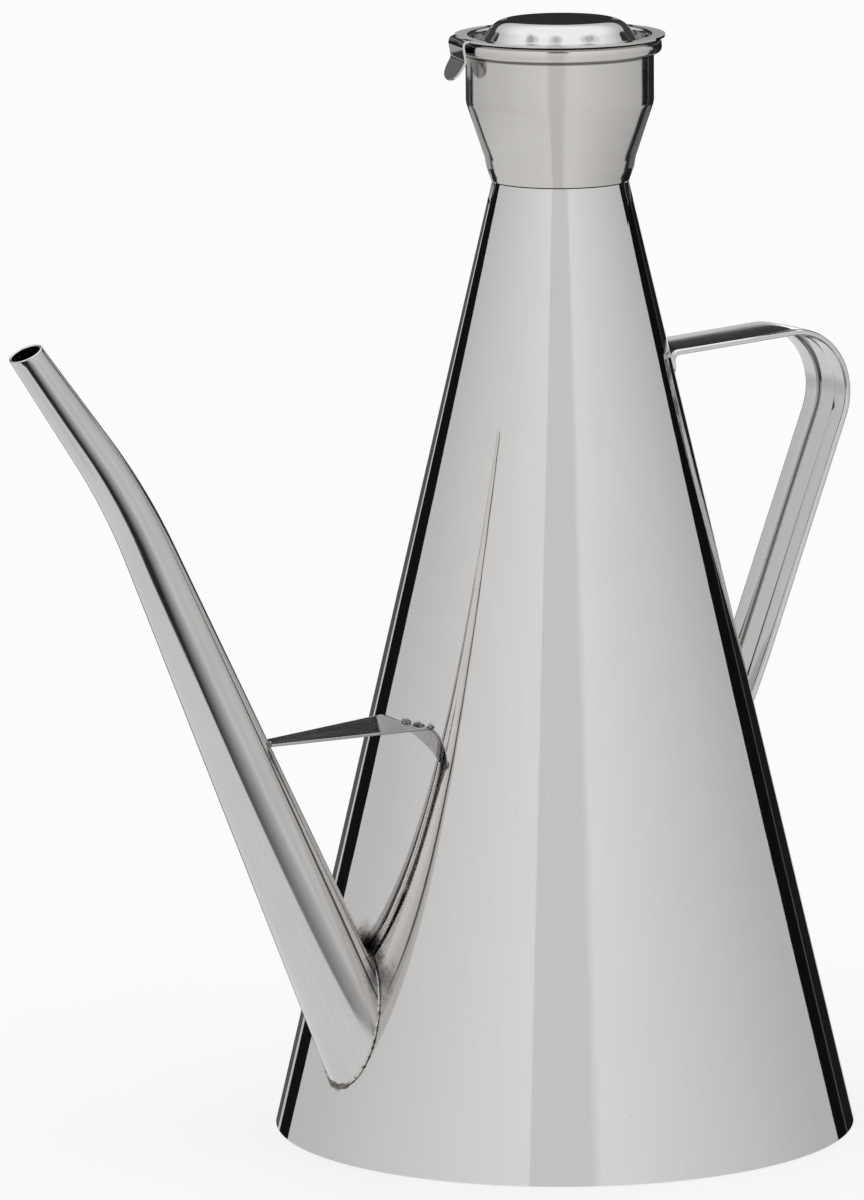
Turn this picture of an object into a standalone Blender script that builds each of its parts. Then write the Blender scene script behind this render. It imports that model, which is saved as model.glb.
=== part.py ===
"""Oil cruet of stainless steel sheet, at its real size in metres, standing on z = 0 with its axis on +Z.

A rolled cone closed by a pressed base carries a spun collar with a rolled rim. A pressed lid with a thumb tab sits
in the collar. A long tapering spout leaves the foot of the cone toward -X, welded round its root and held half way
up by a small bridge plate. A strip handle with hemmed edges is fixed on the other side, toward +X.
"""

import math

import bmesh
import bpy
from mathutils import Matrix, Vector

# Room between pieces that touch, how far a cutter runs past what it cuts, and distances that count as none
SEAT_GAP = 0.0003
OVERRUN = 0.004
WELD_DISTANCE = 0.00001
SAME_POINT = 0.00003
SMOOTH_ANGLE = math.radians(30)

# Body cone: outer radii, height and sheet
FOOT_RADIUS = 0.0625
NECK_RADIUS = 0.01454
BODY_HEIGHT = 0.2047
BODY_SHEET = 0.0006
BODY_STEPS = 80

# Base: a pressed pan inside the foot of the cone
BASE_SHEET = 0.0006
BASE_SKIRT = 0.005
BASE_CORNER = 0.0015
BASE_ARC_STEPS = 3

# Collar: outer radii of the spun cup, heights above its lower edge, and its rolled rim
COLLAR_SHEET = 0.0005
COLLAR_LOW_RADIUS = 0.01475
COLLAR_WAIST_RADIUS = 0.0157
COLLAR_WAIST_HEIGHT = 0.0028
COLLAR_FLARE_RADIUS = 0.0161
COLLAR_FLARE_HEIGHT = 0.0050
COLLAR_RADIUS = 0.0200
COLLAR_TAPER_HEIGHT = 0.0167
COLLAR_HEIGHT = 0.0302
COLLAR_SOFTENING = 0.004
RIM_RADIUS = 0.0217
RIM_DEPTH = 0.0031
RIM_MOUTH = 0.0004
COLLAR_STEPS = 48
COLLAR_SOFT_STEPS = 1
RIM_ARC_STEPS = 3

# Lid: pressed from one sheet, heights measured from the top of its flange
LID_SHEET = 0.0005
LID_FLANGE_RADIUS = 0.0224
LID_FLANGE_CORNER = 0.0010
LID_PLUG_CLEARANCE = 0.0003
LID_MOAT_DEPTH = 0.0024
LID_MOAT_CORNER = 0.0007
LID_FLANK_RADIUS = 0.0158
LID_FLANK_LEAN = math.radians(34.5)
LID_DOME_RISE = 0.0032
LID_DOME_CROWN = 0.00015
LID_DOME_SHOULDER = 0.0035
LID_TURN = math.radians(161.5)
LID_STEPS = 48
LID_ARC_STEPS = 3
LID_SHOULDER_STEPS = 5

# Thumb tab of the lid: it hangs over the rolled rim and curls out at its tip
TAB_WIDTH = 0.011
TAB_INSET = 0.00004
TAB_RIM_CLEARANCE = 0.0003
TAB_BULGE = 0.0005
TAB_BULGE_DROP = 0.0016
TAB_WAIST_DROP = 0.0046
TAB_TIP_DROP = 0.0088
TAB_TIP_REACH = 0.0024
TAB_TONGUE = 0.0036
TAB_SOFTENING = 0.0012
TAB_STEPS = 12
TAB_ARC_STEPS = 3
TAB_SPREAD = math.radians(60)

# Spout: outer diameters, axis and wall
SPOUT_ROOT_DIAMETER = 0.0186
SPOUT_TIP_DIAMETER = 0.00725
SPOUT_WALL = 0.0005
SPOUT_ROOT_HEIGHT = 0.0302
SPOUT_ROOT_LEAN = math.radians(25.1)
SPOUT_ELBOW_HEIGHT = 0.1466
SPOUT_ELBOW_RADIUS = 0.140
SPOUT_TIP_LEAN = math.radians(36.2)
SPOUT_TIP_HEIGHT = 0.1795
SPOUT_TIP_CUT = math.radians(25)
SPOUT_SIDES = 24
SPOUT_ELBOW_STEPS = 10

# Weld bead round the root of the spout
BEAD_RADIUS = 0.0009
BEAD_POINTS = 48
BEAD_ROUND_STEPS = 2
BEAD_SEARCH_STEPS = 40

# Bridge plate between spout and body, narrow at the spout; its sides are given from the spout's plane
BRIDGE_SHEET = 0.0006
BRIDGE_TOP_HEIGHT = 0.0922
BRIDGE_BODY_NEAR = 0.0085
BRIDGE_BODY_FAR = 0.0101
BRIDGE_SPOUT_NEAR = 0.0046
BRIDGE_SPOUT_FAR = 0.0008

# Tack welds that hold the bridge plate: one at the spout, three along the body
TACK_RADIUS = 0.0011
TACK_LIFT = 0.0005
TACK_FROM_NEAR_EDGE = (0.0, 0.0037, 0.0080)
TACK_SEGMENTS = 12
TACK_RINGS = 8

# Handle: a strip with both edges hemmed to its inner side, outer face measured from the body's axis
HANDLE_SHEET = 0.00075
HANDLE_WIDTH = 0.0153
HANDLE_HEM = 0.0045
HANDLE_ARM_HEIGHT = 0.1669
HANDLE_ARM_RISE = math.radians(2.9)
HANDLE_REACH = 0.0717
HANDLE_BEND_RADIUS = 0.0150
HANDLE_LEG_LEAN = math.radians(22.2)
HANDLE_FOOT_LENGTH = 0.0085
HANDLE_TOP_FOOT_RADIUS = 0.0024
HANDLE_LOW_FOOT_RADIUS = 0.0012
HANDLE_BEND_STEPS = 14
HANDLE_FOOT_STEPS = 4
HANDLE_EDGE_STEPS = 4

# Colours of the metal, linear
POLISHED_STEEL = (0.64, 0.63, 0.62, 1.0)
SATIN_STEEL = (0.58, 0.57, 0.56, 1.0)
WELD_STEEL = (0.30, 0.28, 0.27, 1.0)

# Worked out from the sizes above
BODY_SLOPE = (FOOT_RADIUS - NECK_RADIUS) / BODY_HEIGHT
BODY_LEAN = math.atan(BODY_SLOPE)
COLLAR_SEAT = BODY_HEIGHT + SEAT_GAP
LID_SEAT = COLLAR_SEAT + COLLAR_HEIGHT + SEAT_GAP


def body_radius(height):
    """Outer radius of the cone at a height."""
    return FOOT_RADIUS - BODY_SLOPE * height


def clear_scene():
    for old in list(bpy.data.objects):
        bpy.data.objects.remove(old, do_unlink=True)


def make_collection(name):
    made = bpy.data.collections.new(name)
    bpy.context.scene.collection.children.link(made)
    return made


def make_material(name, colour, roughness):
    made = bpy.data.materials.new(name)
    made.use_nodes = True
    shader = made.node_tree.nodes["Principled BSDF"]
    shader.inputs["Base Color"].default_value = colour
    shader.inputs["Metallic"].default_value = 1.0
    shader.inputs["Roughness"].default_value = roughness
    made.diffuse_color = colour
    return made


def make_object(name, data, collection, root=None):
    made = bpy.data.objects.new(name, data)
    collection.objects.link(made)
    made.parent = root
    return made


def finish(made, colour, roughness):
    """Gives a piece a material of its own."""
    made.data.materials.clear()
    made.data.materials.append(make_material(made.name + "_metal", colour, roughness))
    return made


def hide_cutter(made):
    made.hide_render = True
    made.display_type = "WIRE"
    return made


def unit(vector):
    return vector / vector.length


def meeting_point(start, along, other, other_along):
    """Where two lines of a plane cross, each given by a point and a direction."""
    span = other - start
    turn = along.x * other_along.y - along.y * other_along.x
    reach = (span.x * other_along.y - span.y * other_along.x) / turn
    return start + along * reach


def rounded_path(corners):
    """Points of a plane path through corners (x, z, radius, steps), each corner turned as an arc."""
    places = [Vector((corner[0], corner[1])) for corner in corners]
    points = []
    for index, place in enumerate(places):
        radius, steps = corners[index][2], corners[index][3]
        if radius == 0 or index in (0, len(places) - 1):
            points.append(place)
            continue
        back = unit(places[index - 1] - place)
        ahead = unit(places[index + 1] - place)
        half = back.angle(ahead) / 2
        centre = place + unit(back + ahead) * (radius / math.sin(half))
        first = place + back * (radius / math.tan(half)) - centre
        last = place + ahead * (radius / math.tan(half)) - centre
        sweep = first.angle_signed(last)
        for step in range(steps + 1):
            points.append(centre + Matrix.Rotation(-sweep * step / steps, 2) @ first)
    path = [points[0]]
    for point in points[1:]:
        if (point - path[-1]).length > SAME_POINT:
            path.append(point)
    return path


def plain(radius, height):
    """A path corner that stays sharp."""
    return (radius, height, 0, 0)


def turned_sheet(name, path, steps, sheet, collection, root=None, sweep=math.tau):
    """A sheet turned round the Z axis. The path is the face that the sheet's thickness lies behind."""
    mesh = bpy.data.meshes.new(name)
    mesh.from_pydata([(p.x, 0, p.y) for p in path], [(i, i + 1) for i in range(len(path) - 1)], [])
    made = make_object(name, mesh, collection, root)
    screw = made.modifiers.new("Turn", "SCREW")
    screw.axis = "Z"
    screw.angle = sweep
    screw.steps = steps
    screw.render_steps = steps
    screw.use_merge_vertices = True
    screw.merge_threshold = WELD_DISTANCE
    if sheet:
        shell = made.modifiers.new("Sheet", "SOLIDIFY")
        shell.thickness = sheet
        shell.offset = -1
        shell.use_even_offset = True
    return made


def boolean(made, other, operation):
    modifier = made.modifiers.new(operation.title(), "BOOLEAN")
    modifier.operation = operation
    modifier.solver = "EXACT"
    modifier.object = other
    return modifier


def mesh_of_curve(curve_object, collection):
    """Replaces a curve object by a mesh object of the same name and place, with its caps welded on."""
    bpy.context.view_layer.update()
    graph = bpy.context.evaluated_depsgraph_get()
    mesh = bpy.data.meshes.new_from_object(curve_object.evaluated_get(graph))
    work = bmesh.new()
    work.from_mesh(mesh)
    bmesh.ops.remove_doubles(work, verts=work.verts, dist=WELD_DISTANCE)
    work.to_mesh(mesh)
    work.free()
    name, place, root = curve_object.name, curve_object.matrix_world.copy(), curve_object.parent
    bpy.data.objects.remove(curve_object, do_unlink=True)
    made = make_object(name, mesh, collection, root)
    made.matrix_world = place
    return made


def smooth(made):
    """Shades the rounds smooth and keeps real edges sharp."""
    made.data.shade_smooth()
    made.data.set_sharp_from_angle(angle=SMOOTH_ANGLE)
    return made


def flat_outline(name, points, thickness, collection):
    """A plate with the outline in its XY plane, its middle at z = 0."""
    curve = bpy.data.curves.new(name, "CURVE")
    curve.dimensions = "2D"
    curve.fill_mode = "BOTH"
    curve.extrude = thickness / 2
    spline = curve.splines.new("POLY")
    spline.points.add(len(points) - 1)
    for point, place in zip(spline.points, points):
        point.co = (place[0], place[1], 0, 1)
    spline.use_cyclic_u = True
    return mesh_of_curve(make_object(name, curve, collection), collection)


def spout_axis(tail):
    """The spout's axis as points (distance from the body's axis, height), from inside the cone past its tip."""
    root_run = Vector((math.sin(SPOUT_ROOT_LEAN), math.cos(SPOUT_ROOT_LEAN)))
    tip_run = Vector((math.sin(SPOUT_TIP_LEAN), math.cos(SPOUT_TIP_LEAN)))
    root = Vector((body_radius(SPOUT_ROOT_HEIGHT), SPOUT_ROOT_HEIGHT))
    elbow = root + root_run * ((SPOUT_ELBOW_HEIGHT - root.y) / root_run.y)
    tip = elbow + tip_run * ((SPOUT_TIP_HEIGHT - elbow.y) / tip_run.y)
    start = root - root_run * tail
    end = tip + tip_run * tail
    path = rounded_path(
        [plain(*start), (elbow.x, elbow.y, SPOUT_ELBOW_RADIUS, SPOUT_ELBOW_STEPS), plain(*end)]
    )
    return path, root, tip


def spout_radius(run, length):
    """Outer radius of the spout at a distance along its axis from the root."""
    taper = (SPOUT_ROOT_DIAMETER - SPOUT_TIP_DIAMETER) / length
    return (SPOUT_ROOT_DIAMETER - taper * run) / 2


def spout_length(path, tail):
    total = sum((b - a).length for a, b in zip(path, path[1:]))
    return total - 2 * tail


def spout_tube(name, growth, capped, tail, collection, root=None):
    """The spout's outer surface as a tapering tube, its radius changed by growth."""
    path, _, _ = spout_axis(tail)
    length = spout_length(path, tail)
    curve = bpy.data.curves.new(name, "CURVE")
    curve.dimensions = "3D"
    curve.bevel_depth = SPOUT_ROOT_DIAMETER
    curve.bevel_resolution = (SPOUT_SIDES - 4) // 2
    curve.use_fill_caps = capped
    spline = curve.splines.new("POLY")
    spline.points.add(len(path) - 1)
    run = -tail
    for index, place in enumerate(path):
        if index:
            run += (place - path[index - 1]).length
        spline.points[index].co = (-place.x, 0, place.y, 1)
        spline.points[index].radius = (spout_radius(run, length) + growth) / SPOUT_ROOT_DIAMETER
    return mesh_of_curve(make_object(name, curve, collection, root), collection)


def body_solid(name, growth, collection):
    """The cone as a solid, its surface moved out by growth, longer than the sheet cone at both ends."""
    reach = growth / math.cos(BODY_LEAN)
    top = BODY_HEIGHT + OVERRUN
    path = rounded_path(
        [
            plain(0, top),
            plain(body_radius(top) + reach, top),
            plain(body_radius(-OVERRUN) + reach, -OVERRUN),
            plain(0, -OVERRUN),
        ]
    )
    return hide_cutter(turned_sheet(name, path, BODY_STEPS, 0, collection))


def make_body(parts, cutters, root):
    lift = BODY_SHEET * math.sin(BODY_LEAN)
    path = [Vector((NECK_RADIUS, BODY_HEIGHT)), Vector((body_radius(lift), lift))]
    body = turned_sheet("body_cone", path, BODY_STEPS, BODY_SHEET, parts, root)
    bore = spout_tube("spout_bore_cutter", -SPOUT_WALL, True, SPOUT_ROOT_DIAMETER, cutters)
    boolean(body, hide_cutter(bore), "DIFFERENCE")
    return finish(body, POLISHED_STEEL, 0.05)


def make_base(parts, root):
    """A pan whose skirt follows the inside of the cone."""
    inner = BODY_SHEET / math.cos(BODY_LEAN) + SEAT_GAP
    path = rounded_path(
        [
            plain(body_radius(BASE_SKIRT) - inner, BASE_SKIRT),
            (body_radius(0) - inner, 0, BASE_CORNER, BASE_ARC_STEPS),
            plain(0, 0),
        ]
    )
    base = turned_sheet("base_plate", path, BODY_STEPS, BASE_SHEET, parts, root)
    return finish(base, POLISHED_STEEL, 0.15)


def make_collar(parts, root):
    """A spun cup. The path is its inner face, which comes out over the rolled rim."""
    inner = COLLAR_RADIUS - COLLAR_SHEET
    roll = (RIM_RADIUS - inner) / 2
    low = COLLAR_HEIGHT - RIM_DEPTH
    flare = math.atan((COLLAR_WAIST_RADIUS - COLLAR_LOW_RADIUS) / COLLAR_WAIST_HEIGHT)
    path = rounded_path(
        [
            plain(COLLAR_LOW_RADIUS - COLLAR_SHEET, COLLAR_SHEET * math.sin(flare)),
            (COLLAR_WAIST_RADIUS - COLLAR_SHEET, COLLAR_WAIST_HEIGHT, COLLAR_SOFTENING, COLLAR_SOFT_STEPS),
            (COLLAR_FLARE_RADIUS - COLLAR_SHEET, COLLAR_FLARE_HEIGHT, COLLAR_SOFTENING, COLLAR_SOFT_STEPS),
            (inner, COLLAR_TAPER_HEIGHT, COLLAR_SOFTENING, COLLAR_SOFT_STEPS),
            (inner, COLLAR_HEIGHT, roll, RIM_ARC_STEPS),
            (RIM_RADIUS, COLLAR_HEIGHT, roll, RIM_ARC_STEPS),
            (RIM_RADIUS, low, roll, RIM_ARC_STEPS),
            plain(COLLAR_RADIUS + RIM_MOUTH, low),
        ]
    )
    collar = turned_sheet("collar", path, COLLAR_STEPS, COLLAR_SHEET, parts, root)
    collar.location.z = COLLAR_SEAT
    return finish(collar, POLISHED_STEEL, 0.06)


def make_lid(parts, cutters, root):
    """A pressed lid: dome, moat, plug wall and flange, with the thumb tab at local +X."""
    flange = LID_SHEET
    floor = flange - LID_MOAT_DEPTH
    top = flange + LID_DOME_RISE
    plug = COLLAR_RADIUS - COLLAR_SHEET - LID_PLUG_CLEARANCE - LID_SHEET
    lean = math.tan(LID_FLANK_LEAN)
    shoulder = LID_FLANK_RADIUS - LID_DOME_RISE * lean
    foot = LID_FLANK_RADIUS + LID_MOAT_DEPTH * lean
    path = rounded_path(
        [
            plain(0, top + LID_DOME_CROWN),
            (shoulder, top, LID_DOME_SHOULDER, LID_SHOULDER_STEPS),
            (foot, floor, LID_MOAT_CORNER, LID_ARC_STEPS),
            (plug, floor, LID_MOAT_CORNER, LID_ARC_STEPS),
            (plug, flange, LID_FLANGE_CORNER, LID_ARC_STEPS),
            plain(LID_FLANGE_RADIUS, flange),
        ]
    )
    lid = turned_sheet("lid", path, LID_STEPS, LID_SHEET, parts, root)
    lid.location.z = LID_SEAT
    lid.rotation_euler.z = LID_TURN
    boolean(lid, make_tab(cutters), "UNION")
    return finish(lid, POLISHED_STEEL, 0.05)


def make_tab(cutters):
    """The thumb tab: a turned strip of sheet with a hollow waist, trimmed to a tongue, its root inside the flange."""
    top = LID_SHEET - TAB_INSET
    sheet = LID_SHEET - 2 * TAB_INSET
    waist = RIM_RADIUS + TAB_RIM_CLEARANCE + sheet
    bulge = max(LID_FLANGE_RADIUS, waist) + TAB_BULGE
    start = LID_FLANGE_RADIUS - LID_FLANGE_CORNER
    tip = waist + TAB_TIP_REACH
    path = rounded_path(
        [
            plain(start, top),
            (bulge - TAB_BULGE / 2, top, LID_FLANGE_CORNER, TAB_ARC_STEPS),
            (bulge, top - TAB_BULGE_DROP, TAB_SOFTENING, TAB_ARC_STEPS),
            (waist, top - TAB_WAIST_DROP, TAB_SOFTENING, TAB_ARC_STEPS),
            plain(tip, top - TAB_TIP_DROP),
        ]
    )
    strip = turned_sheet("lid_tab_strip", path, TAB_STEPS, sheet, cutters, sweep=TAB_SPREAD)
    strip.rotation_euler.z = LID_TURN - TAB_SPREAD / 2
    strip.location.z = LID_SEAT
    half = TAB_WIDTH / 2
    low = top - TAB_TIP_DROP + TAB_TONGUE
    tongue = [(OVERRUN, half), (OVERRUN, -half)]
    for step in range(TAB_STEPS + 1):
        turn = math.pi * step / TAB_STEPS
        tongue.append((low - TAB_TONGUE * math.sin(turn), -half * math.cos(turn)))
    trim = flat_outline("lid_tongue_trim", tongue, LID_FLANGE_RADIUS, cutters)
    trim.matrix_world = (
        Matrix.Translation((0, 0, LID_SEAT))
        @ Matrix.Rotation(LID_TURN, 4, "Z")
        @ Matrix.Translation((LID_FLANGE_RADIUS, 0, 0))
        @ Matrix.Rotation(-math.pi / 2, 4, "Y")
    )
    boolean(strip, hide_cutter(trim), "INTERSECT")
    return hide_cutter(strip)


def make_spout(parts, cutters, root):
    tail = SPOUT_ROOT_DIAMETER
    spout = spout_tube("spout_tube", 0, False, tail, parts, root)
    shell = spout.modifiers.new("Wall", "SOLIDIFY")
    shell.thickness = SPOUT_WALL
    shell.offset = -1
    shell.use_even_offset = True
    boolean(spout, body_solid("spout_root_cutter", SEAT_GAP, cutters), "DIFFERENCE")
    _, _, tip = spout_axis(tail)
    size = tail + SPOUT_ROOT_DIAMETER + OVERRUN
    work = bmesh.new()
    bmesh.ops.create_cube(work, size=size)
    mesh = bpy.data.meshes.new("spout_tip_cutter")
    work.to_mesh(mesh)
    work.free()
    cutter = hide_cutter(make_object("spout_tip_cutter", mesh, cutters))
    cutter.matrix_world = (
        Matrix.Translation((-tip.x, 0, tip.y))
        @ Matrix.Rotation(-SPOUT_TIP_CUT, 4, "Y")
        @ Matrix.Translation((0, 0, size / 2))
    )
    boolean(spout, cutter, "DIFFERENCE")
    return finish(spout, SATIN_STEEL, 0.28)


def root_weld_place(turn):
    """A point of the crotch between spout and cone, at room for the gap from both, at an angle round the spout."""
    path, root, _ = spout_axis(0)
    length = spout_length(path, 0)
    axis = Vector((-math.sin(SPOUT_ROOT_LEAN), 0, math.cos(SPOUT_ROOT_LEAN)))
    across = Vector((0, 1, 0))
    beside = axis.cross(across)
    start = Vector((-root.x, 0, root.y))
    away = across * math.cos(turn) + beside * math.sin(turn)
    low, high = -SPOUT_ROOT_DIAMETER, SPOUT_ROOT_DIAMETER
    for _ in range(BEAD_SEARCH_STEPS):
        run = (low + high) / 2
        place = start + axis * run + away * spout_radius(run, length)
        inside = math.hypot(place.x, place.y) < body_radius(place.z)
        low, high = (run, high) if inside else (low, run)
    outward = Vector((place.x, place.y, 0))
    cone_normal = unit(unit(outward) + Vector((0, 0, BODY_SLOPE)))
    return place + (away + cone_normal) * (SEAT_GAP / (1 + away.dot(cone_normal)))


def make_root_weld(parts, cutters, root):
    curve = bpy.data.curves.new("spout_root_weld", "CURVE")
    curve.dimensions = "3D"
    curve.bevel_depth = BEAD_RADIUS
    curve.bevel_resolution = BEAD_ROUND_STEPS
    spline = curve.splines.new("POLY")
    spline.points.add(BEAD_POINTS - 1)
    for index, point in enumerate(spline.points):
        place = root_weld_place(math.tau * index / BEAD_POINTS)
        point.co = (place.x, place.y, place.z, 1)
    spline.use_cyclic_u = True
    bead = mesh_of_curve(make_object("spout_root_weld", curve, parts, root), parts)
    boolean(bead, body_solid("weld_body_cutter", SEAT_GAP, cutters), "DIFFERENCE")
    tube = spout_tube("weld_spout_cutter", SEAT_GAP, True, SPOUT_ROOT_DIAMETER, cutters)
    boolean(bead, hide_cutter(tube), "DIFFERENCE")
    return finish(bead, WELD_STEEL, 0.45)


def bridge_outline(growth):
    """Corners of the bridge plate, its wide end inside the cone and its narrow end on the spout's axis."""
    _, root, _ = spout_axis(0)
    height = BRIDGE_TOP_HEIGHT
    body_end = -body_radius(height)
    spout_end = -(root.x + (height - root.y) * math.tan(SPOUT_ROOT_LEAN))
    inside = body_end + BRIDGE_BODY_FAR
    span = (inside - spout_end) / (body_end - spout_end)
    near = BRIDGE_SPOUT_NEAR + (BRIDGE_BODY_NEAR - BRIDGE_SPOUT_NEAR) * span
    far = BRIDGE_SPOUT_FAR + (BRIDGE_BODY_FAR - BRIDGE_SPOUT_FAR) * span
    return [
        (inside, -near - growth),
        (inside, far + growth),
        (spout_end, BRIDGE_SPOUT_FAR + growth),
        (spout_end, -BRIDGE_SPOUT_NEAR - growth),
    ]


def make_bridge(parts, cutters, root):
    bridge = flat_outline("spout_bridge", bridge_outline(0), BRIDGE_SHEET, parts)
    bridge.parent = root
    bridge.location.z = BRIDGE_TOP_HEIGHT - BRIDGE_SHEET / 2
    boolean(bridge, body_solid("bridge_body_cutter", SEAT_GAP, cutters), "DIFFERENCE")
    tube = spout_tube("bridge_spout_cutter", SEAT_GAP, True, SPOUT_ROOT_DIAMETER, cutters)
    boolean(bridge, hide_cutter(tube), "DIFFERENCE")
    return finish(bridge, SATIN_STEEL, 0.2)


def make_tack(name, place, parts, cutters, root):
    """A blob of weld in the corner between the bridge plate and what carries it."""
    work = bmesh.new()
    bmesh.ops.create_uvsphere(
        work, u_segments=TACK_SEGMENTS, v_segments=TACK_RINGS, radius=TACK_RADIUS
    )
    mesh = bpy.data.meshes.new(name)
    work.to_mesh(mesh)
    work.free()
    tack = make_object(name, mesh, parts, root)
    tack.location = place
    plate = flat_outline(
        name + "_plate_cutter", bridge_outline(SEAT_GAP), BRIDGE_SHEET + 2 * SEAT_GAP, cutters
    )
    plate.location.z = BRIDGE_TOP_HEIGHT - BRIDGE_SHEET / 2
    boolean(tack, hide_cutter(plate), "DIFFERENCE")
    boolean(tack, body_solid(name + "_body_cutter", SEAT_GAP, cutters), "DIFFERENCE")
    tube = spout_tube(name + "_spout_cutter", SEAT_GAP, True, SPOUT_ROOT_DIAMETER, cutters)
    boolean(tack, hide_cutter(tube), "DIFFERENCE")
    return finish(tack, WELD_STEEL, 0.4)


def make_tacks(parts, cutters, root):
    height = BRIDGE_TOP_HEIGHT + TACK_LIFT
    for index, from_edge in enumerate(TACK_FROM_NEAR_EDGE):
        side = -BRIDGE_BODY_NEAR + from_edge
        radius = body_radius(height) + SEAT_GAP
        place = (-math.sqrt(radius * radius - side * side), side, height)
        make_tack("bridge_body_tack_" + str(index + 1), place, parts, cutters, root)
    path, foot, _ = spout_axis(0)
    length = spout_length(path, 0)
    run = (height - foot.y) / math.cos(SPOUT_ROOT_LEAN)
    around = spout_radius(run, length) + SEAT_GAP
    side = -BRIDGE_SPOUT_NEAR
    centre = foot.x + run * math.sin(SPOUT_ROOT_LEAN)
    inner = centre - math.sqrt(around * around - side * side) / math.cos(SPOUT_ROOT_LEAN)
    make_tack("bridge_spout_tack", (-inner, side, height), parts, cutters, root)


def handle_section():
    """The strip across its width: smooth outer face on y = 0, hems folded to the inner side."""
    fold = HANDLE_SHEET
    half = HANDLE_WIDTH / 2
    points = [(half - HANDLE_HEM, fold), (half - HANDLE_HEM, 2 * fold)]
    for step in range(HANDLE_EDGE_STEPS + 1):
        turn = math.pi * step / HANDLE_EDGE_STEPS
        points.append((half - fold + fold * math.sin(turn), fold + fold * math.cos(turn)))
    mirrored = [(-x, y) for x, y in reversed(points)]
    return points + mirrored


def handle_path():
    """The strip's smooth face in its plane, from the end of the top foot to the end of the low foot."""
    thickness = 2 * HANDLE_SHEET
    down = Vector((math.sin(BODY_LEAN), -math.cos(BODY_LEAN)))
    outward = Vector((math.cos(BODY_LEAN), math.sin(BODY_LEAN)))
    wall = Vector((FOOT_RADIUS, 0))
    top_line = wall + outward * SEAT_GAP
    low_line = wall + outward * (SEAT_GAP + thickness)
    arm = Vector((math.cos(HANDLE_ARM_RISE), math.sin(HANDLE_ARM_RISE)))
    arm_start = Vector((body_radius(HANDLE_ARM_HEIGHT), HANDLE_ARM_HEIGHT))
    top_bend = meeting_point(top_line, down, arm_start, arm)
    leg = Vector((-math.sin(HANDLE_LEG_LEAN), -math.cos(HANDLE_LEG_LEAN)))
    leg_side = Vector((math.cos(HANDLE_LEG_LEAN), -math.sin(HANDLE_LEG_LEAN)))
    centre_x = HANDLE_REACH - HANDLE_BEND_RADIUS
    arm_above = arm_start + arm * ((centre_x - arm_start.x) / arm.x)
    centre = arm_above - Vector((0, HANDLE_BEND_RADIUS / arm.x))
    leg_start = centre + leg_side * HANDLE_BEND_RADIUS
    grip = meeting_point(arm_start, arm, leg_start, leg)
    low_bend = meeting_point(low_line, down, leg_start, leg)
    top_end = top_bend + down * HANDLE_FOOT_LENGTH
    low_end = low_bend + down * HANDLE_FOOT_LENGTH
    return rounded_path(
        [
            plain(*top_end),
            (*top_bend, HANDLE_TOP_FOOT_RADIUS, HANDLE_FOOT_STEPS),
            (*grip, HANDLE_BEND_RADIUS, HANDLE_BEND_STEPS),
            (*low_bend, HANDLE_LOW_FOOT_RADIUS, HANDLE_FOOT_STEPS),
            plain(*low_end),
        ]
    ), top_end, low_end


def foot_trim(name, end, cutters):
    """Rounds the end of a foot: a plate with a half round bite as wide as the strip, lying along the cone."""
    radius = HANDLE_WIDTH / 2 + SAME_POINT
    reach = radius + SEAT_GAP
    side = radius + OVERRUN
    outline = [(-side, reach), (-side, -OVERRUN), (side, -OVERRUN), (side, reach)]
    for step in range(HANDLE_BEND_STEPS + 1):
        turn = math.pi * step / HANDLE_BEND_STEPS
        outline.append((radius * math.cos(turn), reach - radius * math.sin(turn)))
    trim = flat_outline(name, outline, 2 * OVERRUN, cutters)
    trim.matrix_world = (
        Matrix.Translation((end.x, 0, end.y))
        @ Matrix.Rotation(-BODY_LEAN, 4, "Y")
        @ Matrix.Rotation(math.pi / 2, 4, "Z")
        @ Matrix.Rotation(math.pi / 2, 4, "X")
    )
    return hide_cutter(trim)


def make_handle(parts, cutters, root):
    path, top_end, low_end = handle_path()
    section = bpy.data.curves.new("handle_section", "CURVE")
    section.dimensions = "2D"
    section.fill_mode = "NONE"
    outline = section.splines.new("POLY")
    points = handle_section()
    outline.points.add(len(points) - 1)
    for point, place in zip(outline.points, points):
        point.co = (place[0], place[1], 0, 1)
    outline.use_cyclic_u = True
    profile = hide_cutter(make_object("handle_section", section, cutters))
    curve = bpy.data.curves.new("handle_strip", "CURVE")
    curve.dimensions = "3D"
    curve.twist_mode = "MINIMUM"
    curve.bevel_mode = "OBJECT"
    curve.bevel_object = profile
    curve.use_fill_caps = True
    spline = curve.splines.new("POLY")
    spline.points.add(len(path) - 1)
    for point, place in zip(spline.points, path):
        point.co = (place.x, 0, place.y, 1)
    strip = mesh_of_curve(make_object("handle_strip", curve, parts, root), parts)
    boolean(strip, foot_trim("handle_top_foot_trim", top_end, cutters), "DIFFERENCE")
    boolean(strip, foot_trim("handle_low_foot_trim", low_end, cutters), "DIFFERENCE")
    return finish(strip, POLISHED_STEEL, 0.12)


def main():
    clear_scene()
    parts = make_collection("oil_cruet")
    cutters = make_collection("cutters")
    root = make_object("oil_cruet_root", None, parts)
    make_body(parts, cutters, root)
    make_base(parts, root)
    make_collar(parts, root)
    make_lid(parts, cutters, root)
    make_spout(parts, cutters, root)
    make_root_weld(parts, cutters, root)
    make_bridge(parts, cutters, root)
    make_tacks(parts, cutters, root)
    make_handle(parts, cutters, root)
    for made in parts.objects:
        if made.type == "MESH":
            smooth(made)


main()
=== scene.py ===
"""Oil cruet of polished sheet steel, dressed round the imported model. Metres, +Z up, spout toward -X."""

from math import atan, atan2, ceil, cos, hypot, pi, radians, sin, sqrt, tan, tau

import bmesh
import bpy
import numpy as np
from mathutils import Matrix, Vector
from mathutils import noise as perlin


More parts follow.
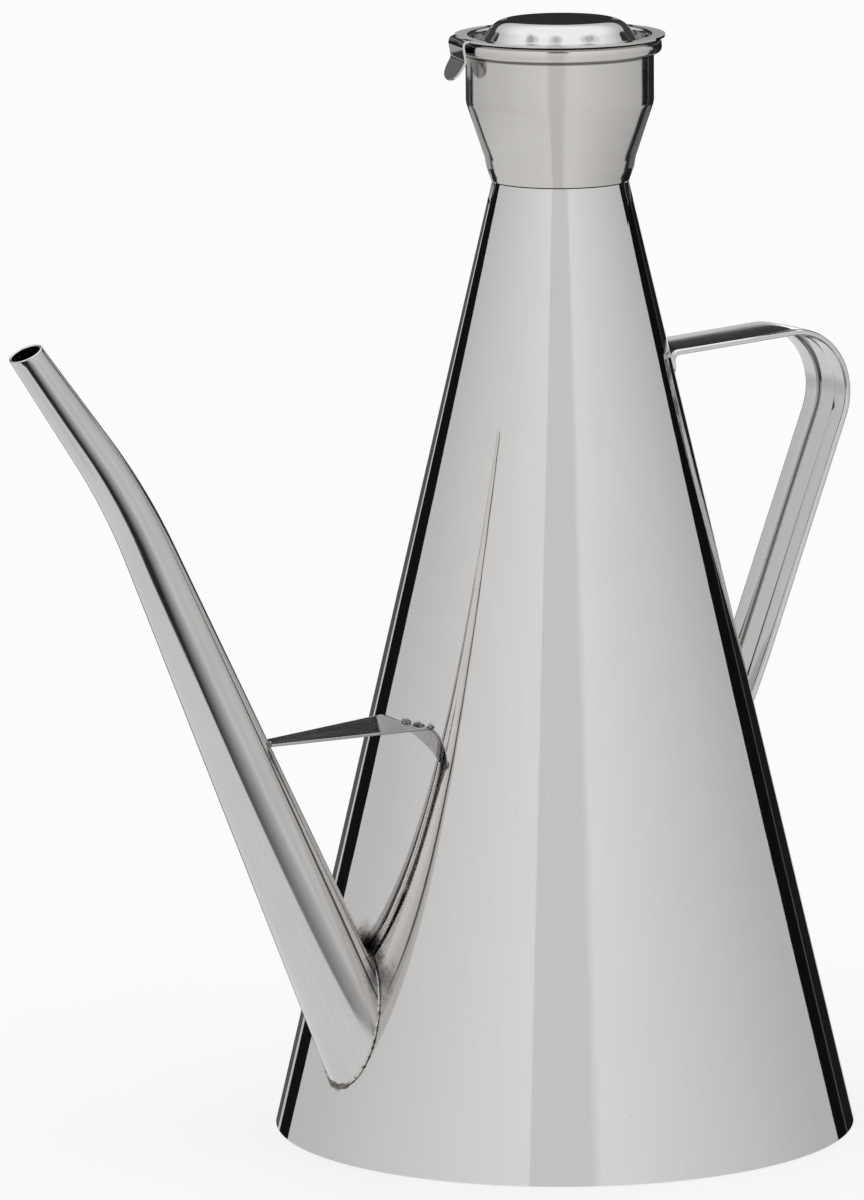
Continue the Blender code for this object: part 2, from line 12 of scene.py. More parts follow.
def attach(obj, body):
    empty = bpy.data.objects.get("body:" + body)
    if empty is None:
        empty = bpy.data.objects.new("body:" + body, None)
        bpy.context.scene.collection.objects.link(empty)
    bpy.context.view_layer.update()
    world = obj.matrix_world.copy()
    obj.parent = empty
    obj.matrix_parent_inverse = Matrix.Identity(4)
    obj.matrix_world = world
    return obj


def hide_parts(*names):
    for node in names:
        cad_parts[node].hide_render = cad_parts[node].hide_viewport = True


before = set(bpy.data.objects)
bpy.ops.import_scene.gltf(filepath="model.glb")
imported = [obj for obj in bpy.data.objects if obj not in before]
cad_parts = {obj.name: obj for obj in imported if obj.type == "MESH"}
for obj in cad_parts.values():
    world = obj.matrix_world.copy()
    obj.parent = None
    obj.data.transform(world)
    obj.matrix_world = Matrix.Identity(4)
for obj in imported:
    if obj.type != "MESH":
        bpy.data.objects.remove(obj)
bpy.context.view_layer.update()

MM = 0.001

# Sizes shared with the CAD model
SEAT_GAP = 0.0003
FOOT_RADIUS = 0.0625
NECK_RADIUS = 0.01454
BODY_HEIGHT = 0.2047
BODY_SHEET = 0.0006
BASE_SHEET = 0.0006
BASE_SKIRT = 0.005
BASE_CORNER = 0.0015
COLLAR_SHEET = 0.0005
COLLAR_LOW_RADIUS = 0.01475
COLLAR_WAIST_RADIUS = 0.0157
COLLAR_WAIST_HEIGHT = 0.0028
COLLAR_FLARE_RADIUS = 0.0161
COLLAR_FLARE_HEIGHT = 0.0050
COLLAR_RADIUS = 0.0200
COLLAR_TAPER_HEIGHT = 0.0167
COLLAR_HEIGHT = 0.0302
COLLAR_SOFTENING = 0.004
RIM_RADIUS = 0.0217
RIM_DEPTH = 0.0031
RIM_MOUTH = 0.0004
LID_SHEET = 0.0005
LID_FLANGE_RADIUS = 0.0224
LID_FLANGE_CORNER = 0.0010
LID_PLUG_CLEARANCE = 0.0003
LID_FLANK_RADIUS = 0.0158
LID_FLANK_LEAN = radians(34.5)
LID_DOME_RISE = 0.0032
LID_DOME_CROWN = 0.00015
LID_TURN = radians(161.5)
TAB_WIDTH = 0.011
TAB_RIM_CLEARANCE = 0.0003
TAB_BULGE = 0.0005
TAB_BULGE_DROP = 0.0016
TAB_WAIST_DROP = 0.0046
TAB_TIP_DROP = 0.0088
TAB_TIP_REACH = 0.0024
TAB_TONGUE = 0.0036
TAB_SOFTENING = 0.0012
SPOUT_ROOT_DIAMETER = 0.0186
SPOUT_TIP_DIAMETER = 0.00725
SPOUT_WALL = 0.0005
SPOUT_ROOT_HEIGHT = 0.0302
SPOUT_ROOT_LEAN = radians(25.1)
SPOUT_ELBOW_HEIGHT = 0.1466
SPOUT_ELBOW_RADIUS = 0.140
SPOUT_TIP_LEAN = radians(36.2)
SPOUT_TIP_HEIGHT = 0.1795
SPOUT_TIP_CUT = radians(25)
BRIDGE_SHEET = 0.0006
BRIDGE_TOP_HEIGHT = 0.0922
BRIDGE_BODY_NEAR = 0.0085
BRIDGE_BODY_FAR = 0.0101
BRIDGE_SPOUT_NEAR = 0.0046
BRIDGE_SPOUT_FAR = 0.0008
TACK_RADIUS = 0.0011
TACK_FROM_NEAR_EDGE = (0.0, 0.0037, 0.0080)
HANDLE_SHEET = 0.00075
HANDLE_WIDTH = 0.0153
HANDLE_HEM = 0.0045
HANDLE_ARM_HEIGHT = 0.1669
HANDLE_ARM_RISE = radians(2.9)
HANDLE_REACH = 0.0717
HANDLE_BEND_RADIUS = 0.0150
HANDLE_LEG_LEAN = radians(22.2)
HANDLE_FOOT_LENGTH = 0.0085
HANDLE_TOP_FOOT_RADIUS = 0.0024
HANDLE_LOW_FOOT_RADIUS = 0.0012

# Sizes of the visible model alone
COLLAR_DROP = 0.2 * MM
LID_MOAT_DEPTH = 3.2 * MM
LID_MOAT_CORNER = 0.4 * MM
LID_DOME_SHOULDER = 5.5 * MM
TAB_CORNER = 0.6 * MM
TAB_FILLET = 0.5 * MM
TAB_SETTLES = 0.8 * MM
TAB_END_POWER, TAB_END_LEAST = 2.6, 0.004
TACK_LIFT = 0.1 * MM
TACK_SHAPES = ((0.4, 0.55, 0.35), (0.5, 1.2, 0.36), (0.55, 0.85, 0.5))
SPOUT_TACK_SHAPE = (0.35, 0.5, 0.6)
BRIDGE_EDGE = 0.16 * MM
HANDLE_CROWN = 2.5
HANDLE_GRAIN_SLANT = 0.5
HEM_SOFTNESS = 0.12 * MM
HEM_ROUND = 0.3 * HEM_SOFTNESS
HEM_FLAT = 1.6 * MM
CREASE_FAR, CREASE_NEAR = 0.06 * MM, 0.01 * MM
FOOT_ZONE = 1.5 * MM
FOOT_SETTLES = 9 * MM

# Worked out from them
BODY_SLOPE = (FOOT_RADIUS - NECK_RADIUS) / BODY_HEIGHT
BODY_LEAN = atan(BODY_SLOPE)
COLLAR_SEAT = BODY_HEIGHT + SEAT_GAP
LID_SEAT = COLLAR_SEAT + COLLAR_HEIGHT + SEAT_GAP

# Fineness of the meshes
ROUND_STEPS = 288
ARC_STEPS = 8
SOFT_STEPS = 6
BODY_RINGS = 24
TAB_STEPS = 28
SPOUT_SIDES = 96
SPOUT_RINGS = 120
SPOUT_ELBOW_STEPS = 24
LIP_STEPS = 7
HALVINGS = 40
BEAD_POINTS, BEAD_SIDES = 420, 14
BRIDGE_ACROSS, BRIDGE_ALONG = 24, 20
HANDLE_EDGE_STEPS = 12
HANDLE_BEND_STEPS = (14, 56, 10)
FOOT_ROWS = 10
BASE_SPACING = 4 * MM
COLLAR_SPACING = 1.5 * MM
LID_SPACING = 1.2 * MM
TAB_SPACING = 0.4 * MM
HANDLE_SPACING = 1.5 * MM
SAME_POINT = 0.01 * MM
SHARP_ANGLE = radians(32)
ALONG_CONE = 0.9
BEVEL_STEPS, BEVEL_ANGLE = 3, radians(50)
SEAM_POINTS = 180


def body_radius(height):
    """Outer radius of the cone at a height."""
    return FOOT_RADIUS - BODY_SLOPE * height


def cone_reach(side, height):
    """How far along X a point on the cone lies from its axis, with a seat's gap."""
    radius = body_radius(height) + SEAT_GAP
    return sqrt(radius * radius - side * side)


# Plane paths


def unit(vector):
    return vector / vector.length


def meeting_point(start, along, other, other_along):
    """Where two lines of a plane cross, each given by a point and a direction."""
    span = other - start
    turn = along.x * other_along.y - along.y * other_along.x
    return start + along * ((span.x * other_along.y - span.y * other_along.x) / turn)


def rounded_path(*corners):
    """A plane path through sharp corners (x, z) and corners (x, z, radius, steps) turned as arcs."""
    places = [Vector((corner[0], corner[1])) for corner in corners]
    points = []
    for index, place in enumerate(places):
        if len(corners[index]) == 2:
            points.append(place)
            continue
        radius, steps = corners[index][2:]
        back = unit(places[index - 1] - place)
        ahead = unit(places[index + 1] - place)
        half = back.angle(ahead) / 2
        centre = place + unit(back + ahead) * (radius / sin(half))
        first = place + back * (radius / tan(half)) - centre
        last = place + ahead * (radius / tan(half)) - centre
        sweep = first.angle_signed(last)
        for step in range(steps + 1):
            points.append(centre + Matrix.Rotation(-sweep * step / steps, 2) @ first)
    path = [points[0]]
    for point in points[1:]:
        if (point - path[-1]).length > SAME_POINT:
            path.append(point)
    return path


def closely(path, spacing):
    """The same path with points no further apart than the spacing."""
    dense = [path[0]]
    for start, end in zip(path, path[1:]):
        parts = max(1, ceil((end - start).length / spacing))
        for part in range(1, parts + 1):
            dense.append(start.lerp(end, part / parts))
    return dense


# Meshes


def turns_of(count):
    """Angles that part a full turn evenly."""
    return [tau * step / count for step in range(count)]


def grid_mesh(name, rows, round_columns=False, round_rows=False, ends=()):
    """A mesh of quads through rows of points, closed by the faces in ends."""
    places = np.array(rows, float)
    count, width = places.shape[0], places.shape[1]
    faces = []
    for row in range(count if round_rows else count - 1):
        here, below = row * width, (row + 1) % count * width
        for column in range(width if round_columns else width - 1):
            beside = (column + 1) % width
            faces.append((here + column, here + beside, below + beside, below + column))
    mesh = bpy.data.meshes.new(name)
    mesh.from_pydata(places.reshape(-1, 3).tolist(), [], faces)
    return cleaned(mesh, ends)


def cleaned(mesh, ends=(), joined=()):
    """The mesh with end faces and joined meshes, doubled points merged and faces turned outward."""
    work = bmesh.new()
    for part in (mesh, *joined):
        work.from_mesh(part)
    work.verts.ensure_lookup_table()
    for corners in ends:
        work.faces.new([work.verts[index] for index in corners])
    bmesh.ops.remove_doubles(work, verts=work.verts, dist=SAME_POINT)
    bmesh.ops.recalc_face_normals(work, faces=work.faces)
    work.to_mesh(mesh)
    work.free()
    return mesh


def add_object(name, data):
    made = bpy.data.objects.new(name, data)
    bpy.context.scene.collection.objects.link(made)
    return made


def add_grid(name, rows, **closing):
    return add_object(name, grid_mesh(name, rows, **closing))


def turned(path, angles, height=0):
    """Rows of points turned round the Z axis, raised by a height."""
    return [[(p.x * cos(a), p.x * sin(a), p.y + height) for a in angles] for p in path]


def assign(thing, **settings):
    for name, value in settings.items():
        setattr(thing, name, value)
    return thing


def modify(made, kind, **settings):
    assign(made.modifiers.new(kind, kind), **settings)


def thicken(made, sheet):
    """Gives a surface the thickness of its sheet, inward."""
    modify(made, "SOLIDIFY", thickness=sheet, offset=-1, use_even_offset=True)


def freeze(made):
    """Applies the modifiers and shades rounds smooth and edges sharp."""
    bpy.context.view_layer.update()
    graph = bpy.context.evaluated_depsgraph_get()
    mesh = bpy.data.meshes.new_from_object(made.evaluated_get(graph))
    made.modifiers.clear()
    made.data = mesh
    mesh.shade_smooth()
    mesh.set_sharp_from_angle(angle=SHARP_ANGLE)
    return made


def set_grain(made, along):
    """Stores where each point lies in the metal's grain: across, across, along, in metres."""
    attribute = made.data.attributes.new("grain", "FLOAT_VECTOR", "POINT")
    values = np.array([along(vertex.co) for vertex in made.data.vertices], np.float32)
    attribute.data.foreach_set("vector", values.ravel())


def finished(made, along):
    """The piece with its modifiers applied, its shading set and its grain stored."""
    freeze(made)
    set_grain(made, along)
    return made


def grain_up(co):
    """Grain that runs up the side of a turned piece."""
    reach = max(hypot(co.x, co.y), SAME_POINT)
    return (co.x / reach * FOOT_RADIUS, co.y / reach * FOOT_RADIUS, co.z)


def grain_round(co):
    """Grain that runs round a turned piece, mirrored at its middle so that it has no seam."""
    reach = hypot(co.x, co.y)
    return (reach, co.z, atan2(abs(co.y), co.x) * reach)


# Body, base and collar


def make_body(bore):
    """The cone's sheet with the spout's hole, shaded as the true cone that it stands for."""
    lift = BODY_SHEET * sin(BODY_LEAN)
    inner = BODY_SHEET * cos(BODY_LEAN)
    top = Vector((NECK_RADIUS, BODY_HEIGHT))
    foot = Vector((body_radius(lift), lift))
    side = [top.lerp(foot, step / BODY_RINGS) for step in range(BODY_RINGS + 1)]
    inside = [p - Vector((inner, lift)) for p in reversed(side)]
    rows = turned(side + inside, turns_of(ROUND_STEPS))
    made = add_grid("cruet_body", rows, round_columns=True, round_rows=True)
    modify(made, "BOOLEAN", operation="DIFFERENCE", solver="EXACT", object=bore)
    freeze(made)
    mesh = made.data
    normals = []
    slope = Vector((cos(BODY_LEAN), sin(BODY_LEAN)))
    for polygon in mesh.polygons:
        for index in polygon.vertices:
            co = mesh.vertices[index].co
            reach = hypot(co.x, co.y)
            true = Vector((co.x / reach * slope.x, co.y / reach * slope.x, slope.y))
            side_on = polygon.normal.dot(true)
            if abs(side_on) > ALONG_CONE:
                normals.append(true if side_on > 0 else -true)
            else:
                normals.append(polygon.normal)
    mesh.normals_split_custom_set(normals)
    set_grain(made, grain_up)
    return made


def make_base():
    inner = BODY_SHEET / cos(BODY_LEAN) + SEAT_GAP
    corner = (body_radius(0) - inner, 0, BASE_CORNER, ARC_STEPS)
    path = rounded_path((body_radius(BASE_SKIRT) - inner, BASE_SKIRT), corner, (0, 0))
    rows = turned(closely(path, BASE_SPACING), turns_of(ROUND_STEPS))
    made = add_grid("cruet_base", rows, round_columns=True)
    thicken(made, BASE_SHEET)
    return finished(made, grain_round)


def make_collar():
    inner = COLLAR_RADIUS - COLLAR_SHEET
    roll = (RIM_RADIUS - inner) / 2
    low = COLLAR_HEIGHT - RIM_DEPTH
    flare = atan((COLLAR_WAIST_RADIUS - COLLAR_LOW_RADIUS) / COLLAR_WAIST_HEIGHT)
    path = rounded_path(
        (COLLAR_LOW_RADIUS - COLLAR_SHEET, COLLAR_SHEET * sin(flare)),
        (COLLAR_WAIST_RADIUS - COLLAR_SHEET, COLLAR_WAIST_HEIGHT, COLLAR_SOFTENING, SOFT_STEPS),
        (COLLAR_FLARE_RADIUS - COLLAR_SHEET, COLLAR_FLARE_HEIGHT, COLLAR_SOFTENING, SOFT_STEPS),
        (inner, COLLAR_TAPER_HEIGHT, COLLAR_SOFTENING, SOFT_STEPS),
        (inner, COLLAR_HEIGHT, roll, ARC_STEPS),
        (RIM_RADIUS, COLLAR_HEIGHT, roll, ARC_STEPS),
        (RIM_RADIUS, low, roll, ARC_STEPS),
        (COLLAR_RADIUS + RIM_MOUTH, low),
    )
    path = [path[0] - Vector((0, COLLAR_DROP)), *path]
    path = [point + Vector((0, COLLAR_SEAT)) for point in closely(path, COLLAR_SPACING)]
    rows = turned(path, turns_of(ROUND_STEPS))
    made = add_grid("cruet_collar", rows, round_columns=True)
    thicken(made, COLLAR_SHEET)
    return finished(made, grain_up)


# Lid with its thumb tab


def lid_path():
    """The lid from the middle of its dome, through moat and plug, to the edge of its flange."""
    top = LID_SHEET + LID_DOME_RISE
    floor = LID_SHEET - LID_MOAT_DEPTH
    plug = COLLAR_RADIUS - COLLAR_SHEET - LID_PLUG_CLEARANCE - LID_SHEET
    lean = tan(LID_FLANK_LEAN)
    return rounded_path(
        (0, top + LID_DOME_CROWN),
        (LID_FLANK_RADIUS - LID_DOME_RISE * lean, top, LID_DOME_SHOULDER, 2 * ARC_STEPS),
        (LID_FLANK_RADIUS + LID_MOAT_DEPTH * lean, floor, LID_MOAT_CORNER, ARC_STEPS),
        (plug, floor, LID_MOAT_CORNER, ARC_STEPS),
        (plug, LID_SHEET, LID_FLANGE_CORNER, ARC_STEPS),
        (LID_FLANGE_RADIUS, LID_SHEET),
    )


def tab_path():
    """The thumb tab from the edge of the flange, over the rim and down to its tip."""
    waist = RIM_RADIUS + TAB_RIM_CLEARANCE + LID_SHEET
    bulge = max(LID_FLANGE_RADIUS, waist) + TAB_BULGE
    path = rounded_path(
        (LID_FLANGE_RADIUS - LID_FLANGE_CORNER, LID_SHEET),
        (bulge - TAB_BULGE / 2, LID_SHEET, TAB_CORNER, ARC_STEPS),
        (bulge, LID_SHEET - TAB_BULGE_DROP, TAB_SOFTENING, ARC_STEPS),
        (waist, LID_SHEET - TAB_WAIST_DROP, TAB_SOFTENING, ARC_STEPS),
        (waist + TAB_TIP_REACH, LID_SHEET - TAB_TIP_DROP),
    )
    past = [p for p in path if p.x > LID_FLANGE_RADIUS + SAME_POINT or p.y < LID_SHEET - SAME_POINT]
    return closely([Vector((LID_FLANGE_RADIUS, LID_SHEET)), *past], TAB_SPACING)


def tab_half_width(point):
    """Half the tab's width at a point of its path, with a fillet at the flange and a rounded end."""
    half = TAB_WIDTH / 2
    low = LID_SHEET - TAB_TIP_DROP + TAB_TONGUE
    if point.y < low:
        share = min(1, (low - point.y) / TAB_TONGUE)
        return half * sqrt(max(TAB_END_LEAST, 1 - share ** TAB_END_POWER))
    return half + TAB_FILLET * max(0, 1 - (LID_SHEET - point.y) / TAB_FILLET) ** 2


def tab_rows():
    """Points across the tab, which leaves the flange along its curve and soon lies flat."""
    path = tab_path()
    rows = []
    for point in path:
        flat = min(1, (point - path[0]).length / TAB_SETTLES)
        row = []
        for step in range(TAB_STEPS + 1):
            turn = tab_half_width(point) / LID_FLANGE_RADIUS * (2 * step / TAB_STEPS - 1)
            side = LID_FLANGE_RADIUS * sin(turn)
            reach = point.x - LID_FLANGE_RADIUS * (1 - cos(turn)) * (1 - flat)
            x = reach * cos(LID_TURN) - side * sin(LID_TURN)
            y = reach * sin(LID_TURN) + side * cos(LID_TURN)
            row.append((x, y, point.y + LID_SEAT))
        rows.append(row)
    return rows


def lid_rows():
    """Points round the lid, closer together where the tab leaves its edge."""
    spread = (TAB_WIDTH / 2 + TAB_FILLET) / LID_FLANGE_RADIUS
    angles = [LID_TURN - spread + 2 * spread * step / TAB_STEPS for step in range(TAB_STEPS + 1)]
    rest = ROUND_STEPS - TAB_STEPS
    angles += [angles[TAB_STEPS] + (tau - 2 * spread) * step / rest for step in range(1, rest)]
    return turned(closely(lid_path(), LID_SPACING), angles, LID_SEAT)


def make_lid():
    """One sheet: the turned lid, with the thumb tab let out of the edge of its flange."""
    tab = grid_mesh("cruet_lid_tab", tab_rows())
    mesh = cleaned(grid_mesh("cruet_lid", lid_rows(), round_columns=True), joined=[tab])
    bpy.data.meshes.remove(tab)
    if max(mesh.polygons, key=lambda face: face.center.z).normal.z < 0:
        mesh.flip_normals()
    made = add_object("cruet_lid", mesh)
    thicken(made, LID_SHEET)
    return finished(made, grain_round)


# Spout


def spout_axis():
    """The spout's axis as points (distance from the body's axis, height), from the cone to the tip."""
    root_run = Vector((sin(SPOUT_ROOT_LEAN), cos(SPOUT_ROOT_LEAN)))
    tip_run = Vector((sin(SPOUT_TIP_LEAN), cos(SPOUT_TIP_LEAN)))
    root = Vector((body_radius(SPOUT_ROOT_HEIGHT), SPOUT_ROOT_HEIGHT))
    elbow = root + root_run * ((SPOUT_ELBOW_HEIGHT - root.y) / root_run.y)
    tip = elbow + tip_run * ((SPOUT_TIP_HEIGHT - elbow.y) / tip_run.y)
    return rounded_path(root, (*elbow, SPOUT_ELBOW_RADIUS, SPOUT_ELBOW_STEPS), tip)


SPOUT_AXIS = spout_axis()
SPOUT_RUNS = np.cumsum([0] + [(b - a).length for a, b in zip(SPOUT_AXIS, SPOUT_AXIS[1:])])
SPOUT_LENGTH = float(SPOUT_RUNS[-1])


def spout_place(run):
    """Axis point and direction at a distance from the root; both run on straight beyond the ends."""
    span = min(max(run, 0), SPOUT_LENGTH)
    index = min(int(np.searchsorted(SPOUT_RUNS, span, side="right")) - 1, len(SPOUT_AXIS) - 2)
    start, end = SPOUT_AXIS[index], SPOUT_AXIS[index + 1]
    along = unit(end - start)
    place = start + along * (run - float(SPOUT_RUNS[index]))
    near = max(index - 1, 0)
    far = min(index + 2, len(SPOUT_AXIS) - 1)
    smooth_along = unit(SPOUT_AXIS[far] - SPOUT_AXIS[near])
    return Vector((-place.x, 0, place.y)), Vector((-smooth_along.x, 0, smooth_along.y))


def spout_radius(run):
    taper = (SPOUT_ROOT_DIAMETER - SPOUT_TIP_DIAMETER) / SPOUT_LENGTH
    return (SPOUT_ROOT_DIAMETER - taper * run) / 2


def spout_point(run, turn, growth=0):
    """A point of the spout's surface, or further out by the growth."""
    place, along = spout_place(run)
    across = Vector((0, 1, 0))
    beside = along.cross(across)
    return place + (across * cos(turn) + beside * sin(turn)) * (spout_radius(run) + growth)


def run_where(turn, growth, outside):
    """The distance along the spout at which a line of its surface passes a limit, found by halving."""
    low, high = -SPOUT_ROOT_DIAMETER, SPOUT_LENGTH + SPOUT_ROOT_DIAMETER
    for _ in range(HALVINGS):
        run = (low + high) / 2
        low, high = (low, run) if outside(spout_point(run, turn, growth)) else (run, high)
    return (low + high) / 2


def spout_reach(side, height):
    """How far along X a point on the spout's near wall lies from the cone's axis, with a seat's gap."""
    run = (height - SPOUT_ROOT_HEIGHT) / cos(SPOUT_ROOT_LEAN)
    around = spout_radius(run) + SEAT_GAP
    centre = body_radius(SPOUT_ROOT_HEIGHT) + run * sin(SPOUT_ROOT_LEAN)
    return centre - sqrt(around * around - side * side) / cos(SPOUT_ROOT_LEAN)


def past_cone(co):
    return hypot(co.x, co.y) > body_radius(co.z) + SEAT_GAP / cos(BODY_LEAN)


TIP_PLACE = spout_place(SPOUT_LENGTH)[0]
TIP_NORMAL = Vector((-sin(SPOUT_TIP_CUT), 0, cos(SPOUT_TIP_CUT)))


def past_tip(co):
    return (co - TIP_PLACE).dot(TIP_NORMAL) > 0


def make_spout():
    """A tube whose root follows the cone, with a slanting tip and a rounded lip."""
    turns = turns_of(SPOUT_SIDES)
    rows = []
    for growth in (0, -SPOUT_WALL):
        starts = [run_where(turn, growth, past_cone) for turn in turns]
        ends = [run_where(turn, growth, past_tip) for turn in turns]
        wall = []
        for ring in range(SPOUT_RINGS + 1):
            share = ring / SPOUT_RINGS
            runs = [start + (end - start) * share for start, end in zip(starts, ends)]
            wall.append([spout_point(run, turn, growth) for run, turn in zip(runs, turns)])
        if growth == 0:
            rows += wall
            outer_ends = ends
        else:
            for step in range(1, LIP_STEPS):
                share = step / LIP_STEPS
                over = sin(pi * share) * SPOUT_WALL / 2
                depth = -SPOUT_WALL * (1 - cos(pi * share)) / 2
                lip = [a + (b - a) * share + over for a, b in zip(outer_ends, ends)]
                rows.append([spout_point(run, t, depth) for run, t in zip(lip, turns)])
            rows += wall[::-1]
    return finished(add_grid("cruet_spout", rows, round_columns=True, round_rows=True), spout_grain)


def spout_grain(co):
    """Across, across and along the spout."""
    place, along = spout_place(SPOUT_LENGTH / 2)
    run = (co - place).dot(along) + SPOUT_LENGTH / 2
    place, along = spout_place(run)
    away = co - place
    away -= along * away.dot(along)
    beside = along.cross(Vector((0, 1, 0)))
    scale = SPOUT_ROOT_DIAMETER / 2 / max(away.length, SAME_POINT)
    return (away.y * scale, away.dot(beside) * scale, run)


def make_bore():
    """The inside of the spout's root as a solid that cuts the hole in the cone."""
    count, reach = SPOUT_SIDES, SPOUT_ROOT_DIAMETER
    rows = [[spout_point(run, turn, -SPOUT_WALL) for turn in turns_of(count)] for run in (-reach, reach)]
    ends = [list(range(count)), list(range(count, 2 * count))]
    return add_grid("bore", rows, round_columns=True, ends=ends)


# Welds: thicknesses and lengths of the bead in metres, noise in waves per metre

BEAD_THICKNESS, BEAD_WANDER = 0.21 * MM, 0.04 * MM
BEAD_LUMPS, BEAD_END_LUMPS, BEAD_END_GROWTH = 0.08 * MM, 0.9 * MM, 0.10 * MM
BEAD_LOW_END, BEAD_TOP_END, BEAD_TOP_SHARE = 4 * MM, 8 * MM, 0.4
BEAD_FLATNESS, BEAD_WIDTH = 0.85, 1.2
WANDER_WAVES, LUMP_WAVES, ROUGH_WAVES = 900, 420, 2600
LUMP_LIMIT = 0.05
LUMP_SHIFT = Vector((7, 3, 1))
BEAD_ROUGHNESS, BEAD_ROUGH_TURNS = 0.16, 1.4
BEAD_AHEAD = 0.01
TACK_FINENESS, TACK_SEEDS, SPOUT_TACK_SEED = 4, (1, 4.1, 7.2), 11.3
TACK_COARSE, TACK_COARSE_WAVES = 0.45, 1.9
TACK_FINE, TACK_FINE_WAVES = 0.16, 5


def crotch(turn):
    """A point of the corner between spout and cone, and the directions away from the two."""
    run = run_where(turn, 0, past_cone)
    place = spout_point(run, turn)
    _, along = spout_place(run)
    across = Vector((0, 1, 0))
    away = across * cos(turn) + along.cross(across) * sin(turn)
    outward = unit(Vector((place.x, place.y, 0)))
    return place, away, unit(outward + Vector((0, 0, BODY_SLOPE)))


def bead_thickness(place, low, high):
    """The bead's radius at a place, thicker and with more lumps near its low and its top end."""
    wander = perlin.noise(place * WANDER_WAVES)
    lump = max(0, perlin.noise(place * LUMP_WAVES + LUMP_SHIFT) - LUMP_LIMIT)
    at_end = max(0, 1 - (place.z - low) / BEAD_LOW_END)
    at_end += BEAD_TOP_SHARE * max(0, 1 - (high - place.z) / BEAD_TOP_END)
    lumps = (BEAD_LUMPS + BEAD_END_LUMPS * at_end) * lump
    return BEAD_THICKNESS + BEAD_WANDER * wander + lumps + BEAD_END_GROWTH * at_end


def make_root_weld():
    """A bead along the corner of spout and cone, with fine ripples and a few lumps."""
    turns = turns_of(BEAD_POINTS)
    heights = [crotch(turn)[0].z for turn in turns]
    rows = []
    for turn in turns:
        place, away, normal = crotch(turn)
        ahead = unit(crotch(turn + BEAD_AHEAD)[0] - crotch(turn - BEAD_AHEAD)[0])
        out = unit(away + normal)
        side = out.cross(ahead)
        thick = bead_thickness(place, min(heights), max(heights))
        ring = []
        for around in turns_of(BEAD_SIDES):
            shift = Vector((cos(around), sin(around), 0)) * BEAD_ROUGH_TURNS
            rough = 1 + BEAD_ROUGHNESS * perlin.noise(place * ROUGH_WAVES + shift)
            flat = out * cos(around) * BEAD_FLATNESS + side * sin(around) * BEAD_WIDTH
            ring.append(place + flat * thick * rough)
        rows.append(ring)
    return finished(add_grid("cruet_root_weld", rows, round_columns=True, round_rows=True), tuple)


def make_tack(name, place, seed, shape):
    """A lump of weld metal of a shape given as shares of the tack's radius, with a pitted surface."""
    work = bmesh.new()
    bmesh.ops.create_icosphere(work, subdivisions=TACK_FINENESS, radius=1)
    for vertex in work.verts:
        rough = 1 + TACK_COARSE * perlin.noise(vertex.co * TACK_COARSE_WAVES + Vector((seed, 0, 0)))
        rough += TACK_FINE * perlin.noise(vertex.co * TACK_FINE_WAVES + Vector((0, seed, 0)))
        stretched = Vector([part * share for part, share in zip(vertex.co, shape)])
        vertex.co = stretched * (TACK_RADIUS * rough)
    mesh = bpy.data.meshes.new(name)
    work.to_mesh(mesh)
    work.free()
    mesh.transform(Matrix.Translation(place))
    return finished(add_object(name, mesh), tuple)


def tack_places():
    """Where the bridge is tacked to the cone."""
    height = BRIDGE_TOP_HEIGHT + TACK_LIFT
    sides = [-BRIDGE_BODY_NEAR + from_edge for from_edge in TACK_FROM_NEAR_EDGE]
    return [Vector((-cone_reach(side, height), side, height)) for side in sides]


def make_tacks():
    """The three tacks on the cone and the one on the spout; the seed makes each a little different."""
    made = []
    for index, place in enumerate(tack_places()):
        name = "bridge_tack_" + str(index + 1)
        made.append(make_tack(name, place, TACK_SEEDS[index], TACK_SHAPES[index]))
    side, height = -BRIDGE_SPOUT_NEAR, BRIDGE_TOP_HEIGHT + TACK_LIFT
    place = Vector((-spout_reach(side, height), side, height))
    made.append(make_tack("bridge_tack_spout", place, SPOUT_TACK_SEED, SPOUT_TACK_SHAPE))
    return made


# Bridge plate


def bridge_rows(height):
    """Points over one face of the plate, from the cone to the spout in each row."""
    top, low = BRIDGE_TOP_HEIGHT, BRIDGE_TOP_HEIGHT - BRIDGE_SHEET
    rows = []
    for step in range(BRIDGE_ACROSS + 1):
        share = step / BRIDGE_ACROSS
        body_side = -BRIDGE_BODY_NEAR + (BRIDGE_BODY_NEAR + BRIDGE_BODY_FAR) * share
        spout_side = -BRIDGE_SPOUT_NEAR + (BRIDGE_SPOUT_NEAR + BRIDGE_SPOUT_FAR) * share
        start = Vector((-cone_reach(body_side, low), body_side, height))
        end = Vector((-spout_reach(spout_side, top), spout_side, height))
        rows.append([start.lerp(end, part / BRIDGE_ALONG) for part in range(BRIDGE_ALONG + 1)])
    return rows


def make_bridge():
    """A flat plate whose ends follow the cone and the spout, with rounded edges."""
    width = BRIDGE_ALONG + 1
    rows = bridge_rows(BRIDGE_TOP_HEIGHT) + bridge_rows(BRIDGE_TOP_HEIGHT - BRIDGE_SHEET)[::-1]
    last = len(rows) - 1
    ends = []
    for step in range(BRIDGE_ACROSS):
        for column in (0, width - 1):
            loop = (step, step + 1, last - 1 - step, last - step)
            ends.append([row * width + column for row in loop])
    made = add_grid("cruet_bridge", rows, round_rows=True, ends=ends)
    limits = {"limit_method": "ANGLE", "angle_limit": BEVEL_ANGLE}
    modify(made, "BEVEL", width=BRIDGE_EDGE, segments=BEVEL_STEPS, **limits)
    return finished(made, lambda co: (co.y, co.z, co.x))


# Handle


